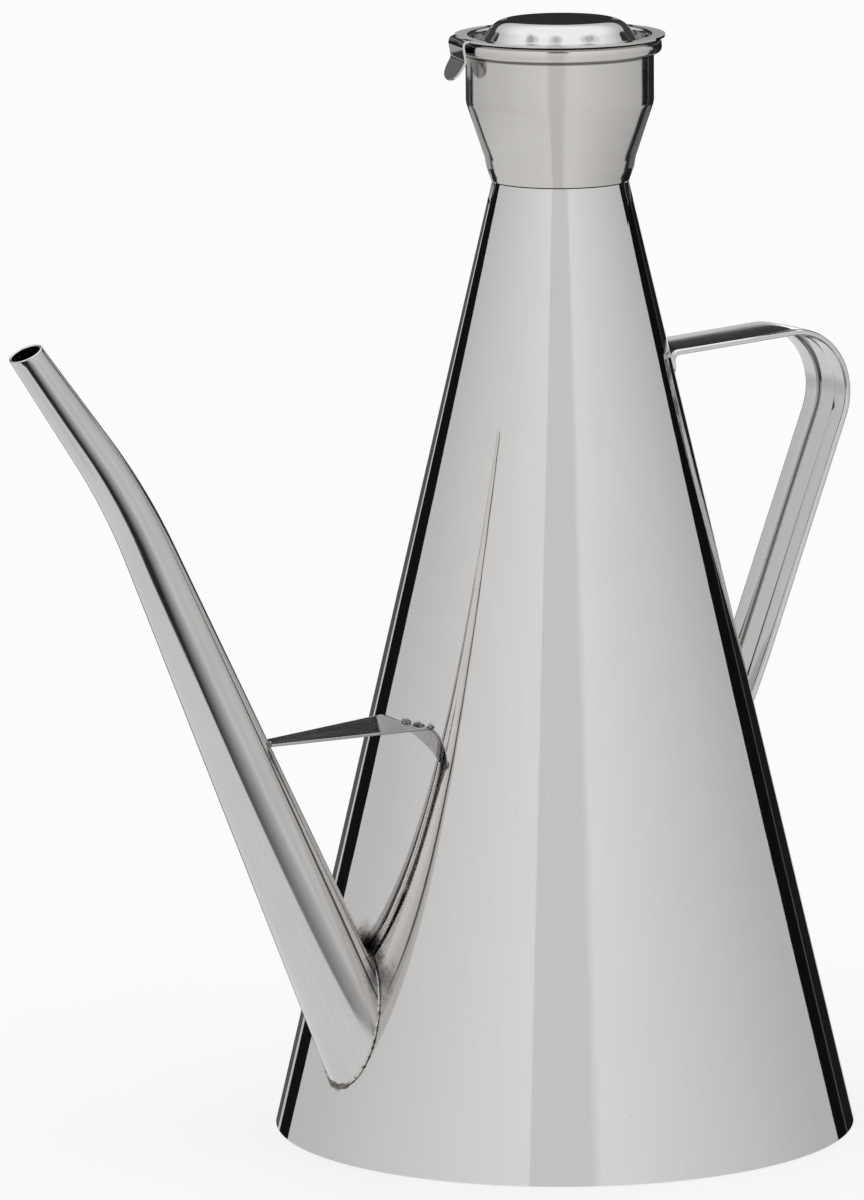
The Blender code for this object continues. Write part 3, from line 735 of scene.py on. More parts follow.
def handle_section():
    """Places across the strip as (side, face, inner): the depths of its smooth and its inner face."""
    fold = HANDLE_SHEET
    half = HANDLE_WIDTH / 2
    step_at = half - HANDLE_HEM
    soft = HEM_SOFTNESS
    flat = [
        (0, fold),
        (step_at / 2, fold),
        (step_at - soft, fold),
        (step_at - 2 * CREASE_NEAR, fold),
        (step_at, 2 * fold - soft),
        (step_at + HEM_ROUND, 2 * fold - HEM_ROUND),
        (step_at + soft, 2 * fold),
        (step_at + HEM_FLAT, 2 * fold),
    ]
    right = [(side, HANDLE_CROWN * side * side, inner) for side, inner in flat]
    for step in range(HANDLE_EDGE_STEPS + 1):
        turn = pi / 2 * step / HANDLE_EDGE_STEPS
        side = half - fold + fold * sin(turn)
        crown = HANDLE_CROWN * side * side * cos(turn) ** 2
        right.append((side, fold - fold * cos(turn) + crown, fold + fold * cos(turn)))
    left = [(-side, face, inner) for side, face, inner in reversed(right[1:])]
    return left + right


def handle_path():
    """The strip's smooth face in its plane, from the end of the top foot to the end of the low foot."""
    down = Vector((sin(BODY_LEAN), -cos(BODY_LEAN)))
    outward = Vector((cos(BODY_LEAN), sin(BODY_LEAN)))
    wall = Vector((FOOT_RADIUS, 0))
    arm = Vector((cos(HANDLE_ARM_RISE), sin(HANDLE_ARM_RISE)))
    arm_start = Vector((body_radius(HANDLE_ARM_HEIGHT), HANDLE_ARM_HEIGHT))
    top_bend = meeting_point(wall + outward * SEAT_GAP, down, arm_start, arm)
    leg = Vector((-sin(HANDLE_LEG_LEAN), -cos(HANDLE_LEG_LEAN)))
    leg_side = Vector((cos(HANDLE_LEG_LEAN), -sin(HANDLE_LEG_LEAN)))
    centre_x = HANDLE_REACH - HANDLE_BEND_RADIUS
    arm_above = arm_start + arm * ((centre_x - arm_start.x) / arm.x)
    centre = arm_above - Vector((0, HANDLE_BEND_RADIUS / arm.x))
    leg_start = centre + leg_side * HANDLE_BEND_RADIUS
    grip = meeting_point(arm_start, arm, leg_start, leg)
    low_bend = meeting_point(wall + outward * (SEAT_GAP + 2 * HANDLE_SHEET), down, leg_start, leg)
    top_steps, grip_steps, low_steps = HANDLE_BEND_STEPS
    return rounded_path(
        top_bend + down * HANDLE_FOOT_LENGTH,
        (*top_bend, HANDLE_TOP_FOOT_RADIUS, top_steps),
        (*grip, HANDLE_BEND_RADIUS, grip_steps),
        (*low_bend, HANDLE_LOW_FOOT_RADIUS, low_steps),
        low_bend + down * HANDLE_FOOT_LENGTH,
    )


def strip_point(line, run, side, depth):
    """A point of the strip, whose ends are cut to a half round and whose feet follow the round cone."""
    runs, places, tangents = line
    length, half = float(runs[-1]), HANDLE_WIDTH / 2
    zone = half + FOOT_ZONE
    cut = half - sqrt(max(0, half * half - side * side))
    if run < zone:
        run = cut + (zone - cut) * run / zone
    elif run > length - zone:
        run = length - cut - (zone - cut) * (length - run) / zone
    x, z = [np.interp(run, runs, places[:, axis]) for axis in (0, 1)]
    along_x, along_z = [np.interp(run, runs, tangents[:, axis]) for axis in (0, 1)]
    size = hypot(along_x, along_z)
    x, z = x + along_z / size * depth, z - along_x / size * depth
    flat_cone = cone_reach(0, z)
    close = min(1, max(0, 1 - (x - flat_cone) / FOOT_SETTLES))
    return (x - (flat_cone - cone_reach(side, z)) * close, side, z)


def mark_crease(made, places):
    """Marks the step of the hems on the inner face, for the painted shade in the step."""
    step_at = HANDLE_WIDTH / 2 - HANDLE_HEM
    values = []
    for vertex in made.data.vertices:
        at_step = step_at - CREASE_FAR < abs(vertex.co.y) < step_at - CREASE_NEAR
        depth = np.hypot(places[:, 0] - vertex.co.x, places[:, 1] - vertex.co.z).min()
        values.append(1.0 if at_step and depth > HANDLE_SHEET / 2 else 0.0)
    mark = made.data.attributes.new("hem_shade", "FLOAT", "POINT")
    mark.data.foreach_set("value", values)


def make_handle():
    """The hemmed strip, swept along its path and closed at both ends."""
    path = closely(handle_path(), HANDLE_SPACING)
    runs = np.cumsum([0] + [(b - a).length for a, b in zip(path, path[1:])])
    tangents = [unit(after - before) for before, after in zip([path[0], *path], [*path[1:], path[-1]])]
    line = (runs, np.array(path), np.array(tangents))
    length = float(runs[-1])
    fine = [(HANDLE_WIDTH / 2 + FOOT_ZONE) * row / FOOT_ROWS for row in range(FOOT_ROWS + 1)]
    section = handle_section()
    rows = []
    for run in sorted({float(run) for run in runs} | set(fine) | {length - run for run in fine}):
        face = [strip_point(line, run, side, low) for side, low, _ in section]
        rows.append(face + [strip_point(line, run, side, high) for side, _, high in reversed(section)])
    width = 2 * len(section)
    last = (len(rows) - 1) * width
    ends = []
    for index in range(len(section) - 1):
        loop = [index, index + 1, width - 2 - index, width - 1 - index]
        ends += [loop, [last + corner for corner in loop]]
    made = add_grid("cruet_handle", rows, round_columns=True, ends=ends)
    finished(made, lambda co: (co.y, 0, co.x * HANDLE_GRAIN_SLANT + co.z))
    mark_crease(made, line[1])
    return made


# Materials: noise in lumps per metre, depths of relief in millimetres

# Dark of soot near the welds, also used for painted shade and painted dark reflections
SOOT_AND_SHADE = (0.035, 0.030, 0.028, 1)
BROWN = (0.035, 0.026, 0.018, 1)
SPECK = (0.25, 0.24, 0.23, 1)
SCALE, CREST = (0.14, 0.13, 0.12, 1), (0.64, 0.63, 0.61, 1)
CLOUD_SIZE, SPECK_SIZE, SPOT_SIZE = (70, 70, 45), (1500, 1500, 1100), (420, 420, 420)
LUMP_SIZE, GRIT_SIZE = (1100, 1100, 1100), (3500, 3500, 3500)
LUMP_DEPTH, GRIT_DEPTH = 0.05, 0.03
NOISE_RANGE = (0.3, 0.7)
LINE_SHARE, CLOUD_SHARE = 0.6, 0.4
FINE_DETAIL, GRIT_DETAIL, SPECK_DETAIL, RIDGE_DETAIL = (4.0, 0.6), (3.0, 0.6), (2.0,), (1.0,)
SPECK_LIMITS, SPECK_ROUGHNESS, SPECK_DARKNESS = (0.72, 0.80), 0.12, 0.35
SPOT_EDGE, SPOT_CORE, SHADE_BAND_CORE = 1.5, 0.75, 0.4
HEM_SHADE_DARKNESS = 0.8
WELD_ROUGHNESS, WELD_CRESTS = (0.35, 0.65, 0.22, 0.5), (0.33, 0.50)
BURN_DARKNESS, BURN_FADE, BURN_GRIT = 0.95, 1.6 * MM, (0.35, 0.6, 0.5, 1.0)
SOOT_AND_SHADE_START, SOOT_AND_SHADE_FULL = 9 * MM, 1 * MM
WELD_BURN_RISE, TACK_SOOT_RISE = 2 * MM, 5 * MM


class Nodes:
    """Adds nodes to a material or a world and joins them up."""

    def __init__(self, owner):
        owner.use_nodes = True
        self.owner = owner
        self.tree = owner.node_tree

    def add(self, kind, inputs=None, **settings):
        made = assign(self.tree.nodes.new("ShaderNode" + kind), **settings)
        for name, value in (inputs or {}).items():
            self.feed(made.inputs[name], value)
        return made

    def feed(self, socket, value):
        if isinstance(value, bpy.types.NodeSocket):
            self.tree.links.new(value, socket)
        else:
            socket.default_value = value

    def math(self, operation, *values):
        made = self.add("Math", operation=operation)
        for socket, value in zip(made.inputs, values):
            self.feed(socket, value)
        return made.outputs[0]

    def times(self, product, *factors):
        """The product of all the values."""
        for factor in factors:
            product = self.math("MULTIPLY", product, factor)
        return product

    def span(self, value, start, end, low=0.0, high=1.0, kind="SMOOTHSTEP"):
        """Low before the start, high past the end, and a soft slope between them."""
        inputs = {"Value": value, "From Min": start, "From Max": end, "To Min": low, "To Max": high}
        return self.add("MapRange", inputs, interpolation_type=kind).outputs["Result"]

    def ramp(self, value, start, end, low=0.0, high=1.0):
        """Like span, with a straight slope."""
        return self.span(value, start, end, low, high, "LINEAR")

    def between(self, share, low, high):
        """A value between two, by a share."""
        return self.ramp(share, 0, 1, low, high)

    def window(self, value, opening, closing):
        """1 between an opening and a closing slope, and 0 outside them."""
        return self.times(self.span(value, *opening), self.span(value, *closing))

    def noise(self, place, scale, detail=3.0, roughness=0.5):
        spread = self.add("Mapping", {"Vector": place, "Scale": scale}).outputs["Vector"]
        inputs = {"Vector": spread, "Scale": 1.0, "Detail": detail, "Roughness": roughness}
        return self.add("TexNoise", inputs).outputs["Fac"]

    def shade(self, factor, low, high):
        """A colour between two, by a factor."""
        made = self.add("Mix", {"Factor": factor}, data_type="RGBA")
        self.feed(made.inputs[6], low)
        self.feed(made.inputs[7], high)
        return made.outputs[2]

    def grain(self):
        return self.add("Attribute", attribute_name="grain").outputs["Vector"]

    def place(self):
        return self.add("TexCoord").outputs["Object"]

    def height(self, place):
        return self.add("SeparateXYZ", {"Vector": place}).outputs["Z"]

    def bump(self, height, depth, **under):
        """The normal over a relief whose depth is in millimetres."""
        inputs = {"Strength": 1.0, "Distance": depth * MM, "Height": height, **under}
        return self.add("Bump", inputs).outputs["Normal"]

    def light(self, level):
        """White light of a level."""
        return self.add("Emission", {"Color": (1, 1, 1, 1), "Strength": level}).outputs["Emission"]

    def blend(self, share, first, second):
        """A shader between two, by a share."""
        made = self.add("MixShader", {"Fac": share})
        self.feed(made.inputs[1], first)
        self.feed(made.inputs[2], second)
        return made.outputs["Shader"]

    def clear(self, share, shader):
        """The shader, with a share of it clear."""
        return self.blend(share, shader, self.add("BsdfTransparent").outputs["BSDF"])

    def finish(self, shader):
        self.feed(self.tree.nodes["Material Output"].inputs["Surface"], shader)
        return self.owner


def new_material(name):
    return Nodes(bpy.data.materials.new(name))


def new_metal(name):
    """The nodes and the shader of a new metal."""
    nodes = new_material(name)
    shader = nodes.tree.nodes["Principled BSDF"]
    shader.inputs["Metallic"].default_value = 1
    return nodes, shader


def with_dark_spots(nodes, place, tint, dark_spots):
    """The tint darkened round each spot, given with its reach and strength; the spots stand for soot,
    painted shade and painted dark reflections.
    """
    for spot, reach, strength in dark_spots:
        away = nodes.add("VectorMath", {0: place, 1: spot}, operation="DISTANCE").outputs["Value"]
        uneven = nodes.math("MULTIPLY_ADD", nodes.noise(place, SPOT_SIZE), reach, away)
        soot_and_shade = nodes.span(uneven, reach * SPOT_EDGE, reach * SPOT_CORE, 0.0, strength)
        tint = nodes.shade(soot_and_shade, tint, SOOT_AND_SHADE)
    return tint


def steel(name, look, dark_spots=(), hem_shade=False, painted_shade=None):
    """Steel sheet with its grain: fine lines in tone, roughness and relief, and broad uneven wear."""
    colour, (roughness, spread), (across, along), (line_depth, wave_depth), tone = look
    nodes, shader = new_metal(name)
    grain = nodes.grain()
    size = (across, across, along)
    lines = nodes.noise(grain, size, *FINE_DETAIL)
    clouds = nodes.noise(grain, CLOUD_SIZE)
    specks = nodes.span(nodes.noise(grain, SPECK_SIZE, *SPECK_DETAIL), *SPECK_LIMITS)
    mixed = nodes.math("ADD", nodes.times(lines, LINE_SHARE), nodes.times(clouds, CLOUD_SHARE))
    rough = nodes.ramp(mixed, *NOISE_RANGE, roughness - spread, roughness + spread)
    nodes.feed(shader.inputs["Roughness"], nodes.math("MULTIPLY_ADD", specks, SPECK_ROUGHNESS, rough))
    darker, lighter = [tuple(part * (1 + change) for part in colour) + (1,) for change in (-tone, tone)]
    tint = nodes.shade(nodes.ramp(mixed, *NOISE_RANGE), darker, lighter)
    tint = nodes.shade(nodes.times(specks, SPECK_DARKNESS), tint, SPECK)
    place = nodes.place()
    tint = with_dark_spots(nodes, place, tint, dark_spots)
    # Painted shade: a dark band round the piece at a given height
    if painted_shade:
        height, half, strength = painted_shade
        off = nodes.math("ABSOLUTE", nodes.math("SUBTRACT", nodes.height(place), height))
        tint = nodes.shade(nodes.span(off, half, half * SHADE_BAND_CORE, 0.0, strength), tint, SOOT_AND_SHADE)
    # Painted shade in the step of the hems
    if hem_shade:
        mark = nodes.add("Attribute", attribute_name="hem_shade").outputs["Fac"]
        tint = nodes.shade(nodes.times(mark, HEM_SHADE_DARKNESS), tint, SOOT_AND_SHADE)
    nodes.feed(shader.inputs["Base Color"], tint)
    ridges = nodes.noise(grain, size, *RIDGE_DETAIL)
    waves = nodes.bump(clouds, wave_depth)
    nodes.feed(shader.inputs["Normal"], nodes.bump(ridges, line_depth, Normal=waves))
    return nodes.owner


def weld_metal(name, burn_height, soot_and_shade_height):
    """Rough weld metal: dark scale between bright crests, browned where the torch stayed longest, and
    darker towards the top: soot, and on the spout's weld painted shade of the corner.
    """
    nodes, shader = new_metal(name)
    place = nodes.grain()
    height = nodes.height(place)
    lumps = nodes.noise(place, LUMP_SIZE, *FINE_DETAIL)
    grit = nodes.noise(place, GRIT_SIZE, *GRIT_DETAIL)
    nodes.feed(shader.inputs["Roughness"], nodes.ramp(lumps, *WELD_ROUGHNESS))
    tint = nodes.shade(nodes.span(lumps, *WELD_CRESTS), SCALE, CREST)
    burnt = nodes.span(height, burn_height, burn_height - BURN_FADE, 0.0, BURN_DARKNESS)
    tint = nodes.shade(nodes.times(burnt, nodes.span(grit, *BURN_GRIT)), tint, BROWN)
    # Darker towards the top: soot, and painted shade where the spout's weld runs into the corner
    soot_and_shade = nodes.span(height, soot_and_shade_height - SOOT_AND_SHADE_START, soot_and_shade_height - SOOT_AND_SHADE_FULL, 0.0, BURN_DARKNESS)
    nodes.feed(shader.inputs["Base Color"], nodes.shade(soot_and_shade, tint, SOOT_AND_SHADE))
    relief = nodes.bump(lumps, LUMP_DEPTH)
    nodes.feed(shader.inputs["Normal"], nodes.bump(grit, GRIT_DEPTH, Normal=relief))
    return nodes.owner


def dress(made, body, slot, material, *nodes):
    """Gives a piece its material and its body, and hides the CAD nodes that it stands for; the slot is not
    used.
    """
    made.data.materials.clear()
    made.data.materials.append(material)
    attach(made, body)
    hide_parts(*nodes)


def lid_place(turn):
    """A place at the foot of the lid's dome."""
    return Vector((PAINTED_REFLECTION_REACH * cos(turn), PAINTED_REFLECTION_REACH * sin(turn), PAINTED_REFLECTION_HEIGHT))


# Dark spots, each a place, reach and strength: soot near the welds, painted shade in the corner between
# spout and cone, painted dark reflections on the lid
SEAM_SIDE_DROP = 5 * MM
SEAM = [crotch(turn)[0] for turn in turns_of(SEAM_POINTS)]
SEAM_TOP = max(SEAM, key=lambda spot: spot.z)
SEAM_LOW = min(SEAM, key=lambda spot: spot.z)
SIDE_HEIGHT = SEAM_TOP.z - SEAM_SIDE_DROP
HALVES = [[spot for spot in SEAM if spot.y * side > 0] for side in (-1, 1)]
SEAM_SIDES = [min(half, key=lambda spot: abs(spot.z - SIDE_HEIGHT)) for half in HALVES]
# Soot along the seam, and painted shade in the corner between spout and cone at its top
SEAM_SOOT_AND_SHADE = [(SEAM_TOP, 6.5 * MM, 0.98), (SEAM_LOW, 1.6 * MM, 0.6)]
# On the cone also painted shade beside the seam's upper part, and darkening round the tacks
BODY_SOOT_AND_SHADE = SEAM_SOOT_AND_SHADE + [(spot, 6 * MM, 0.75) for spot in SEAM_SIDES]
BODY_SOOT_AND_SHADE += [(spot, 1.3 * MM, 0.4) for spot in tack_places()]
# Painted dark reflections round the foot of the lid's dome: turn in radians and strength
PAINTED_REFLECTION_REACH, PAINTED_REFLECTION_HEIGHT = 15.5 * MM, LID_SEAT + 0.9 * MM
PAINTED_REFLECTIONS = {-2.60: 0.5, -2.54: 0.3, -2.27: 0.25, -2.21: 0.4, -1.84: 0.3, -1.76: 0.4, -1.69: 0.25}
LID_PAINTED_REFLECTIONS = [(lid_place(turn), 1.5 * MM, strength) for turn, strength in PAINTED_REFLECTIONS.items()]
# Painted shade under the collar's rim: height, half width and strength
SHADE_UNDER_RIM = (COLLAR_SEAT + COLLAR_HEIGHT - RIM_DEPTH - 0.15 * MM, 0.55 * MM, 0.8)

# Looks: colour, roughness and spread, grain across and along, depths of lines and waves, change of tone
MIRROR_LOOK = ((0.655, 0.643, 0.634), (0.035, 0.015), (1300, 30), (0.0003, 0.018), 0.015)
ROLLED_LOOK = ((0.62, 0.61, 0.60), (0.06, 0.02), (900, 60), (0.002, 0.04), 0.03)
DRAWN_LOOK = ((0.635, 0.617, 0.598), (0.12, 0.03), (1100, 60), (0.004, 0.04), 0.025)
STRAP_LOOK = ((0.62, 0.61, 0.60), (0.07, 0.025), (1500, 50), (0.003, 0.03), 0.04)
SATIN_LOOK = ((0.60, 0.59, 0.58), (0.10, 0.035), (2200, 60), (0.0008, 0.02), 0.07)
PLATE_LOOK = ((0.37, 0.36, 0.37), (0.11, 0.04), (900, 90), (0.005, 0.04), 0.26)

MIRROR = steel("mirror_steel", MIRROR_LOOK, BODY_SOOT_AND_SHADE)
ROLLED = steel("rolled_steel", ROLLED_LOOK)
LID_STEEL = steel("lid_steel", ROLLED_LOOK, LID_PAINTED_REFLECTIONS)
DRAWN = steel("drawn_steel", DRAWN_LOOK, painted_shade=SHADE_UNDER_RIM)
STRAP = steel("strap_steel", STRAP_LOOK, hem_shade=True)
SATIN = steel("satin_steel", SATIN_LOOK, SEAM_SOOT_AND_SHADE)
PLATE = steel("plate_steel", PLATE_LOOK)
WELD = weld_metal("weld_metal", SEAM_LOW.z + WELD_BURN_RISE, SEAM_TOP.z)
TACK = weld_metal("tack_metal", BRIDGE_TOP_HEIGHT, BRIDGE_TOP_HEIGHT + TACK_SOOT_RISE)

# Pieces

bore = make_bore()
dress(make_body(bore), "cruet", "polished_steel", MIRROR, "body_cone")
bpy.data.objects.remove(bore, do_unlink=True)
dress(make_base(), "cruet", "polished_steel", ROLLED, "base_plate")
dress(make_collar(), "cruet", "polished_steel", DRAWN, "collar")
dress(make_lid(), "lid", "polished_steel", LID_STEEL, "lid")
dress(make_spout(), "cruet", "satin_steel", SATIN, "spout_tube")
dress(make_root_weld(), "cruet", "weld_steel", WELD, "spout_root_weld")
dress(make_bridge(), "cruet", "satin_steel", PLATE, "spout_bridge")
TACK_NODES = ("bridge_body_tack_1", "bridge_body_tack_2", "bridge_body_tack_3", "bridge_spout_tack")
for tack, node in zip(make_tacks(), TACK_NODES):
    dress(tack, "cruet", "weld_steel", TACK, node)
dress(make_handle(), "cruet", "polished_steel", STRAP, "handle_strip")

# Camera, as solved from the photograph

VIEW_TURN = radians(-35)
CAMERA_DISTANCE, CAMERA_HEIGHT = 1.95676, 0.46451
CAMERA_PITCH, CAMERA_YAW, CAMERA_ROLL = [radians(angle) for angle in (10.150, -0.8174, -0.4143)]
FOCAL_PIXELS = 9274.54
FRAME_HEIGHT, SENSOR = 1200, 24
CLIP_NEAR, CLIP_FAR = 0.05, 50


def make_camera():
    lens = FOCAL_PIXELS / FRAME_HEIGHT * SENSOR
    data = assign(bpy.data.cameras.new("camera"), lens=lens, clip_start=CLIP_NEAR, clip_end=CLIP_FAR)
    assign(data, sensor_fit="VERTICAL", sensor_height=SENSOR)
    camera = add_object("camera", data)
    flat, rise = cos(CAMERA_PITCH), sin(CAMERA_PITCH)
    ahead = Vector((sin(CAMERA_YAW) * flat, cos(CAMERA_YAW) * flat, -rise))
    right = Vector((cos(CAMERA_YAW), -sin(CAMERA_YAW), 0))
    up = right.cross(ahead)
    turned_right = right * cos(CAMERA_ROLL) + up * sin(CAMERA_ROLL)
    turned_up = up * cos(CAMERA_ROLL) - right * sin(CAMERA_ROLL)
    axes = Matrix((turned_right, turned_up, -ahead)).transposed().to_4x4()
    place = Matrix.Translation((0, -CAMERA_DISTANCE, CAMERA_HEIGHT)) @ axes
    camera.matrix_world = Matrix.Rotation(VIEW_TURN, 4, "Z") @ place
    bpy.context.scene.camera = camera


# Studio: azimuths in degrees from the camera's side, positive to the right; levels of light, 1 is white

CAMERA_SIDE = VIEW_TURN - pi / 2
LEFT_LEVEL, MIDDLE_LEVEL, RIGHT_LEVEL = 0.71, 1.0, 0.64
WALL_START, WALL_END = 18, 126
STRIP_SHARE, STRIP_LEFT, STRIP_SOFT = 0.83, (-14.5, -13.5), (3, -3)
STRIP_RIGHT = (-8, 6, 6, 12.5)
CEILING_LEVEL, CEILING_RISE = 1.35, (24, 56)
TABLE_LEVEL, TABLE_RISE = 0.89, (-14, -26)
TABLE_NEAR_SHARE, TABLE_NEAR_RISE = 0.87, (-1, -9)
UNDER_LEVEL, UNDER_RISE = 0.25, (-56, -68)
STAND_LEVEL, STAND_SIDES, STAND_RISE = 0.08, ((-16, -14), (12, 9)), ((21, 23), (58, 53))
FLOOR_SIZE, FLOOR_COLOUR, FLOOR_GLOW = 3, (0.93, 0.93, 0.93, 1), 0.6


def camera_frame(nodes, place):
    """A place or direction turned so that X runs towards the camera's side and Y to its right."""
    turn = {"Vector": place, "Angle": -CAMERA_SIDE}
    turned_place = nodes.add("VectorRotate", turn, rotation_type="Z_AXIS").outputs["Vector"]
    return nodes.add("SeparateXYZ", {"Vector": turned_place}).outputs


def azimuth_of(nodes, parts):
    return nodes.math("DEGREES", nodes.math("ARCTAN2", parts["Y"], parts["X"]))


def wall_levels(nodes, azimuth):
    """The levels of the left and of the right wall, which fall away from the camera's side."""
    left = nodes.ramp(azimuth, -WALL_END, -WALL_START, LEFT_LEVEL, MIDDLE_LEVEL)
    return left, nodes.ramp(azimuth, WALL_START, WALL_END, MIDDLE_LEVEL, RIGHT_LEVEL)


def studio_level(nodes):
    """The light of each direction: walls with a greyer strip before the camera, a ceiling and a table."""
    parts = camera_frame(nodes, nodes.add("TexCoord").outputs["Generated"])
    azimuth = azimuth_of(nodes, parts)
    rise = nodes.math("DEGREES", nodes.math("ARCSINE", parts["Z"]))
    level = nodes.math("MINIMUM", *wall_levels(nodes, azimuth))
    from_left = nodes.span(azimuth, *STRIP_LEFT)
    strip_right = nodes.span(rise, *STRIP_RIGHT)
    from_right = nodes.span(nodes.math("SUBTRACT", azimuth, strip_right), *STRIP_SOFT)
    level = nodes.times(level, nodes.between(nodes.times(from_left, from_right), 1, STRIP_SHARE))
    level = nodes.between(nodes.span(rise, *CEILING_RISE), level, CEILING_LEVEL)
    level = nodes.times(level, nodes.span(rise, *TABLE_NEAR_RISE, 1, TABLE_NEAR_SHARE))
    level = nodes.between(nodes.span(rise, *TABLE_RISE), level, TABLE_LEVEL)
    level = nodes.between(nodes.span(rise, *UNDER_RISE), level, UNDER_LEVEL)
    stand = nodes.times(nodes.window(azimuth, *STAND_SIDES), nodes.window(rise, *STAND_RISE))
    return nodes.between(stand, level, STAND_LEVEL)


def make_world():
    """White for the camera and the matt floor, and the studio for what the metal reflects."""
    world = bpy.data.worlds.new("studio")
    bpy.context.scene.world = world
    nodes = Nodes(world)
    background = nodes.tree.nodes["Background"]
    reflected = nodes.add("LightPath").outputs["Is Glossy Ray"]
    nodes.feed(background.inputs["Strength"], nodes.between(reflected, 1.0, studio_level(nodes)))
    background.inputs["Color"].default_value = (1, 1, 1, 1)


def one_face(name, corners):
    mesh = bpy.data.meshes.new(name)
    mesh.from_pydata(corners, [], [(0, 1, 2, 3)])
    return add_object(name, mesh)


def level_square(name, size, height):
    return one_face(name, [(x * size, y * size, height) for x, y in ((-1, -1), (1, -1), (1, 1), (-1, 1))])


def make_floor():
    """A plain pale floor that keeps the object's shadow; the metal reflects the studio's table instead."""
    floor = level_square("floor", FLOOR_SIZE, 0)
    nodes = new_material("floor")
    matt = nodes.add("BsdfDiffuse", {"Color": FLOOR_COLOUR}).outputs["BSDF"]
    seen = nodes.times(nodes.add("LightPath").outputs["Is Camera Ray"], FLOOR_GLOW)
    floor.data.materials.append(nodes.finish(nodes.blend(seen, matt, nodes.light(1.0))))
    floor.visible_glossy = False


def finish_card(card, material):
    """Makes a card that only the metal sees, and that casts no shadow."""
    card.data.materials.append(material)
    assign(card, visible_camera=False, visible_diffuse=False, visible_shadow=False)
    card.visible_transmission = False


# The card for the shade on the table, which only the metal sees: how far its edge lies forward and how
# light it is, by places to the right

SHEET_SIZE, SHEET_HEIGHT = 0.62, 1 * MM
SHEET_EDGE, SHEET_EDGE_BEND = (-0.097, -0.010, 0.190, 0.095), (-0.097, -0.200, 0.0, 0.020)
SHEET_EDGE_SOFT, SHEET_FAR_FADE, SHEET_RIGHT_FADE = (-0.005, 0.009), (SHEET_SIZE, 0.45), (0.32, 0.13)
SHEET_LEVEL = (-0.080, -0.035, 0.03, 0.22)
SHEET_LEVEL_MORE = ((-0.035, 0.020, 0.0, 0.20), (0.020, 0.200, 0.0, 0.42))


def make_table_shade_card():
    """A card standing in for shade on the table, dark at its left and paler to the right, that the spout
    reflects as a dark stripe.
    """
    sheet = level_square("table_shade_card", SHEET_SIZE, SHEET_HEIGHT)
    nodes = new_material("table_shade_card")
    forward, right, _ = camera_frame(nodes, nodes.place())
    edge = nodes.math("ADD", nodes.ramp(right, *SHEET_EDGE), nodes.ramp(right, *SHEET_EDGE_BEND))
    past_edge = nodes.span(nodes.math("SUBTRACT", forward, edge), *SHEET_EDGE_SOFT)
    inside = nodes.times(past_edge, nodes.span(forward, *SHEET_FAR_FADE))
    inside = nodes.times(inside, nodes.span(right, *SHEET_RIGHT_FADE))
    level = nodes.ramp(right, *SHEET_LEVEL)
    for more in SHEET_LEVEL_MORE:
        level = nodes.math("ADD", level, nodes.ramp(right, *more))
    outside = nodes.math("SUBTRACT", 1, inside)
    finish_card(sheet, nodes.finish(nodes.clear(outside, nodes.light(level))))


# The ring of light below the collar's taper: reach is the distance from the axis in the ring's plane

RING_HEIGHT = 0.2003
RING_RADII, RING_SIDES = (0.0162, 0.0300, 0.1000), 96
RING_ORIGIN = 0.0175
RING_LEVEL, RING_DARK = 0.87, 0.015
RING_SHADE = (0.034, 0.060, 0.35, 1.0)
RING_STRIP = ((-15, -13), (9, 2))
RING_NARROWING = (0.025, 0.034, 0.92, 1.0)
RING_LIT = ((-143, -140), (134, 131))
RING_LEFT_GREY, RING_RIGHT_GREY = (-147, -151, 0.0, 0.40), (145, 149, 0.0, 0.14)
RING_GREY_REACH = (0.034, 0.038)
TAB_LIGHT_LEVEL, TAB_LIGHT_REACH, TAB_LIGHT_AZIMUTH = 0.55, (0.035, 0.030), (-122, -125)


def ring_level(nodes):
    """The ring's light, by a ray's azimuth at the collar and by the reach at which it lands."""
    place = nodes.place()
    raw_azimuth = azimuth_of(nodes, camera_frame(nodes, place))
    reach = nodes.add("VectorMath", {0: place}, operation="LENGTH").outputs["Value"]
    reach = nodes.math("SQRT", nodes.math("SUBTRACT", nodes.math("POWER", reach, 2), RING_HEIGHT ** 2))
    spread = nodes.math("SUBTRACT", 2, nodes.math("DIVIDE", RING_ORIGIN, reach))
    azimuth = nodes.times(raw_azimuth, nodes.math("DIVIDE", 2, spread))
    left, right = wall_levels(nodes, azimuth)
    left = nodes.math("SUBTRACT", left, MIDDLE_LEVEL)
    left = nodes.math("MULTIPLY_ADD", left, nodes.ramp(reach, *RING_SHADE), MIDDLE_LEVEL)
    strip = nodes.between(nodes.window(azimuth, *RING_STRIP), 1, STRIP_SHARE)
    level = nodes.times(nodes.math("MINIMUM", left, right), RING_LEVEL, strip)
    azimuth = nodes.times(azimuth, nodes.span(reach, *RING_NARROWING))
    level = nodes.times(level, nodes.window(azimuth, *RING_LIT))
    grey = nodes.math("ADD", nodes.span(azimuth, *RING_LEFT_GREY), nodes.span(azimuth, *RING_RIGHT_GREY))
    grey = nodes.times(grey, nodes.span(reach, *RING_GREY_REACH))
    level = nodes.math("MAXIMUM", level, nodes.math("ADD", grey, RING_DARK))
    by_the_tab = nodes.span(reach, *TAB_LIGHT_REACH)
    by_the_tab = nodes.times(by_the_tab, nodes.span(raw_azimuth, *TAB_LIGHT_AZIMUTH))
    return nodes.math("MULTIPLY_ADD", by_the_tab, TAB_LIGHT_LEVEL, level)


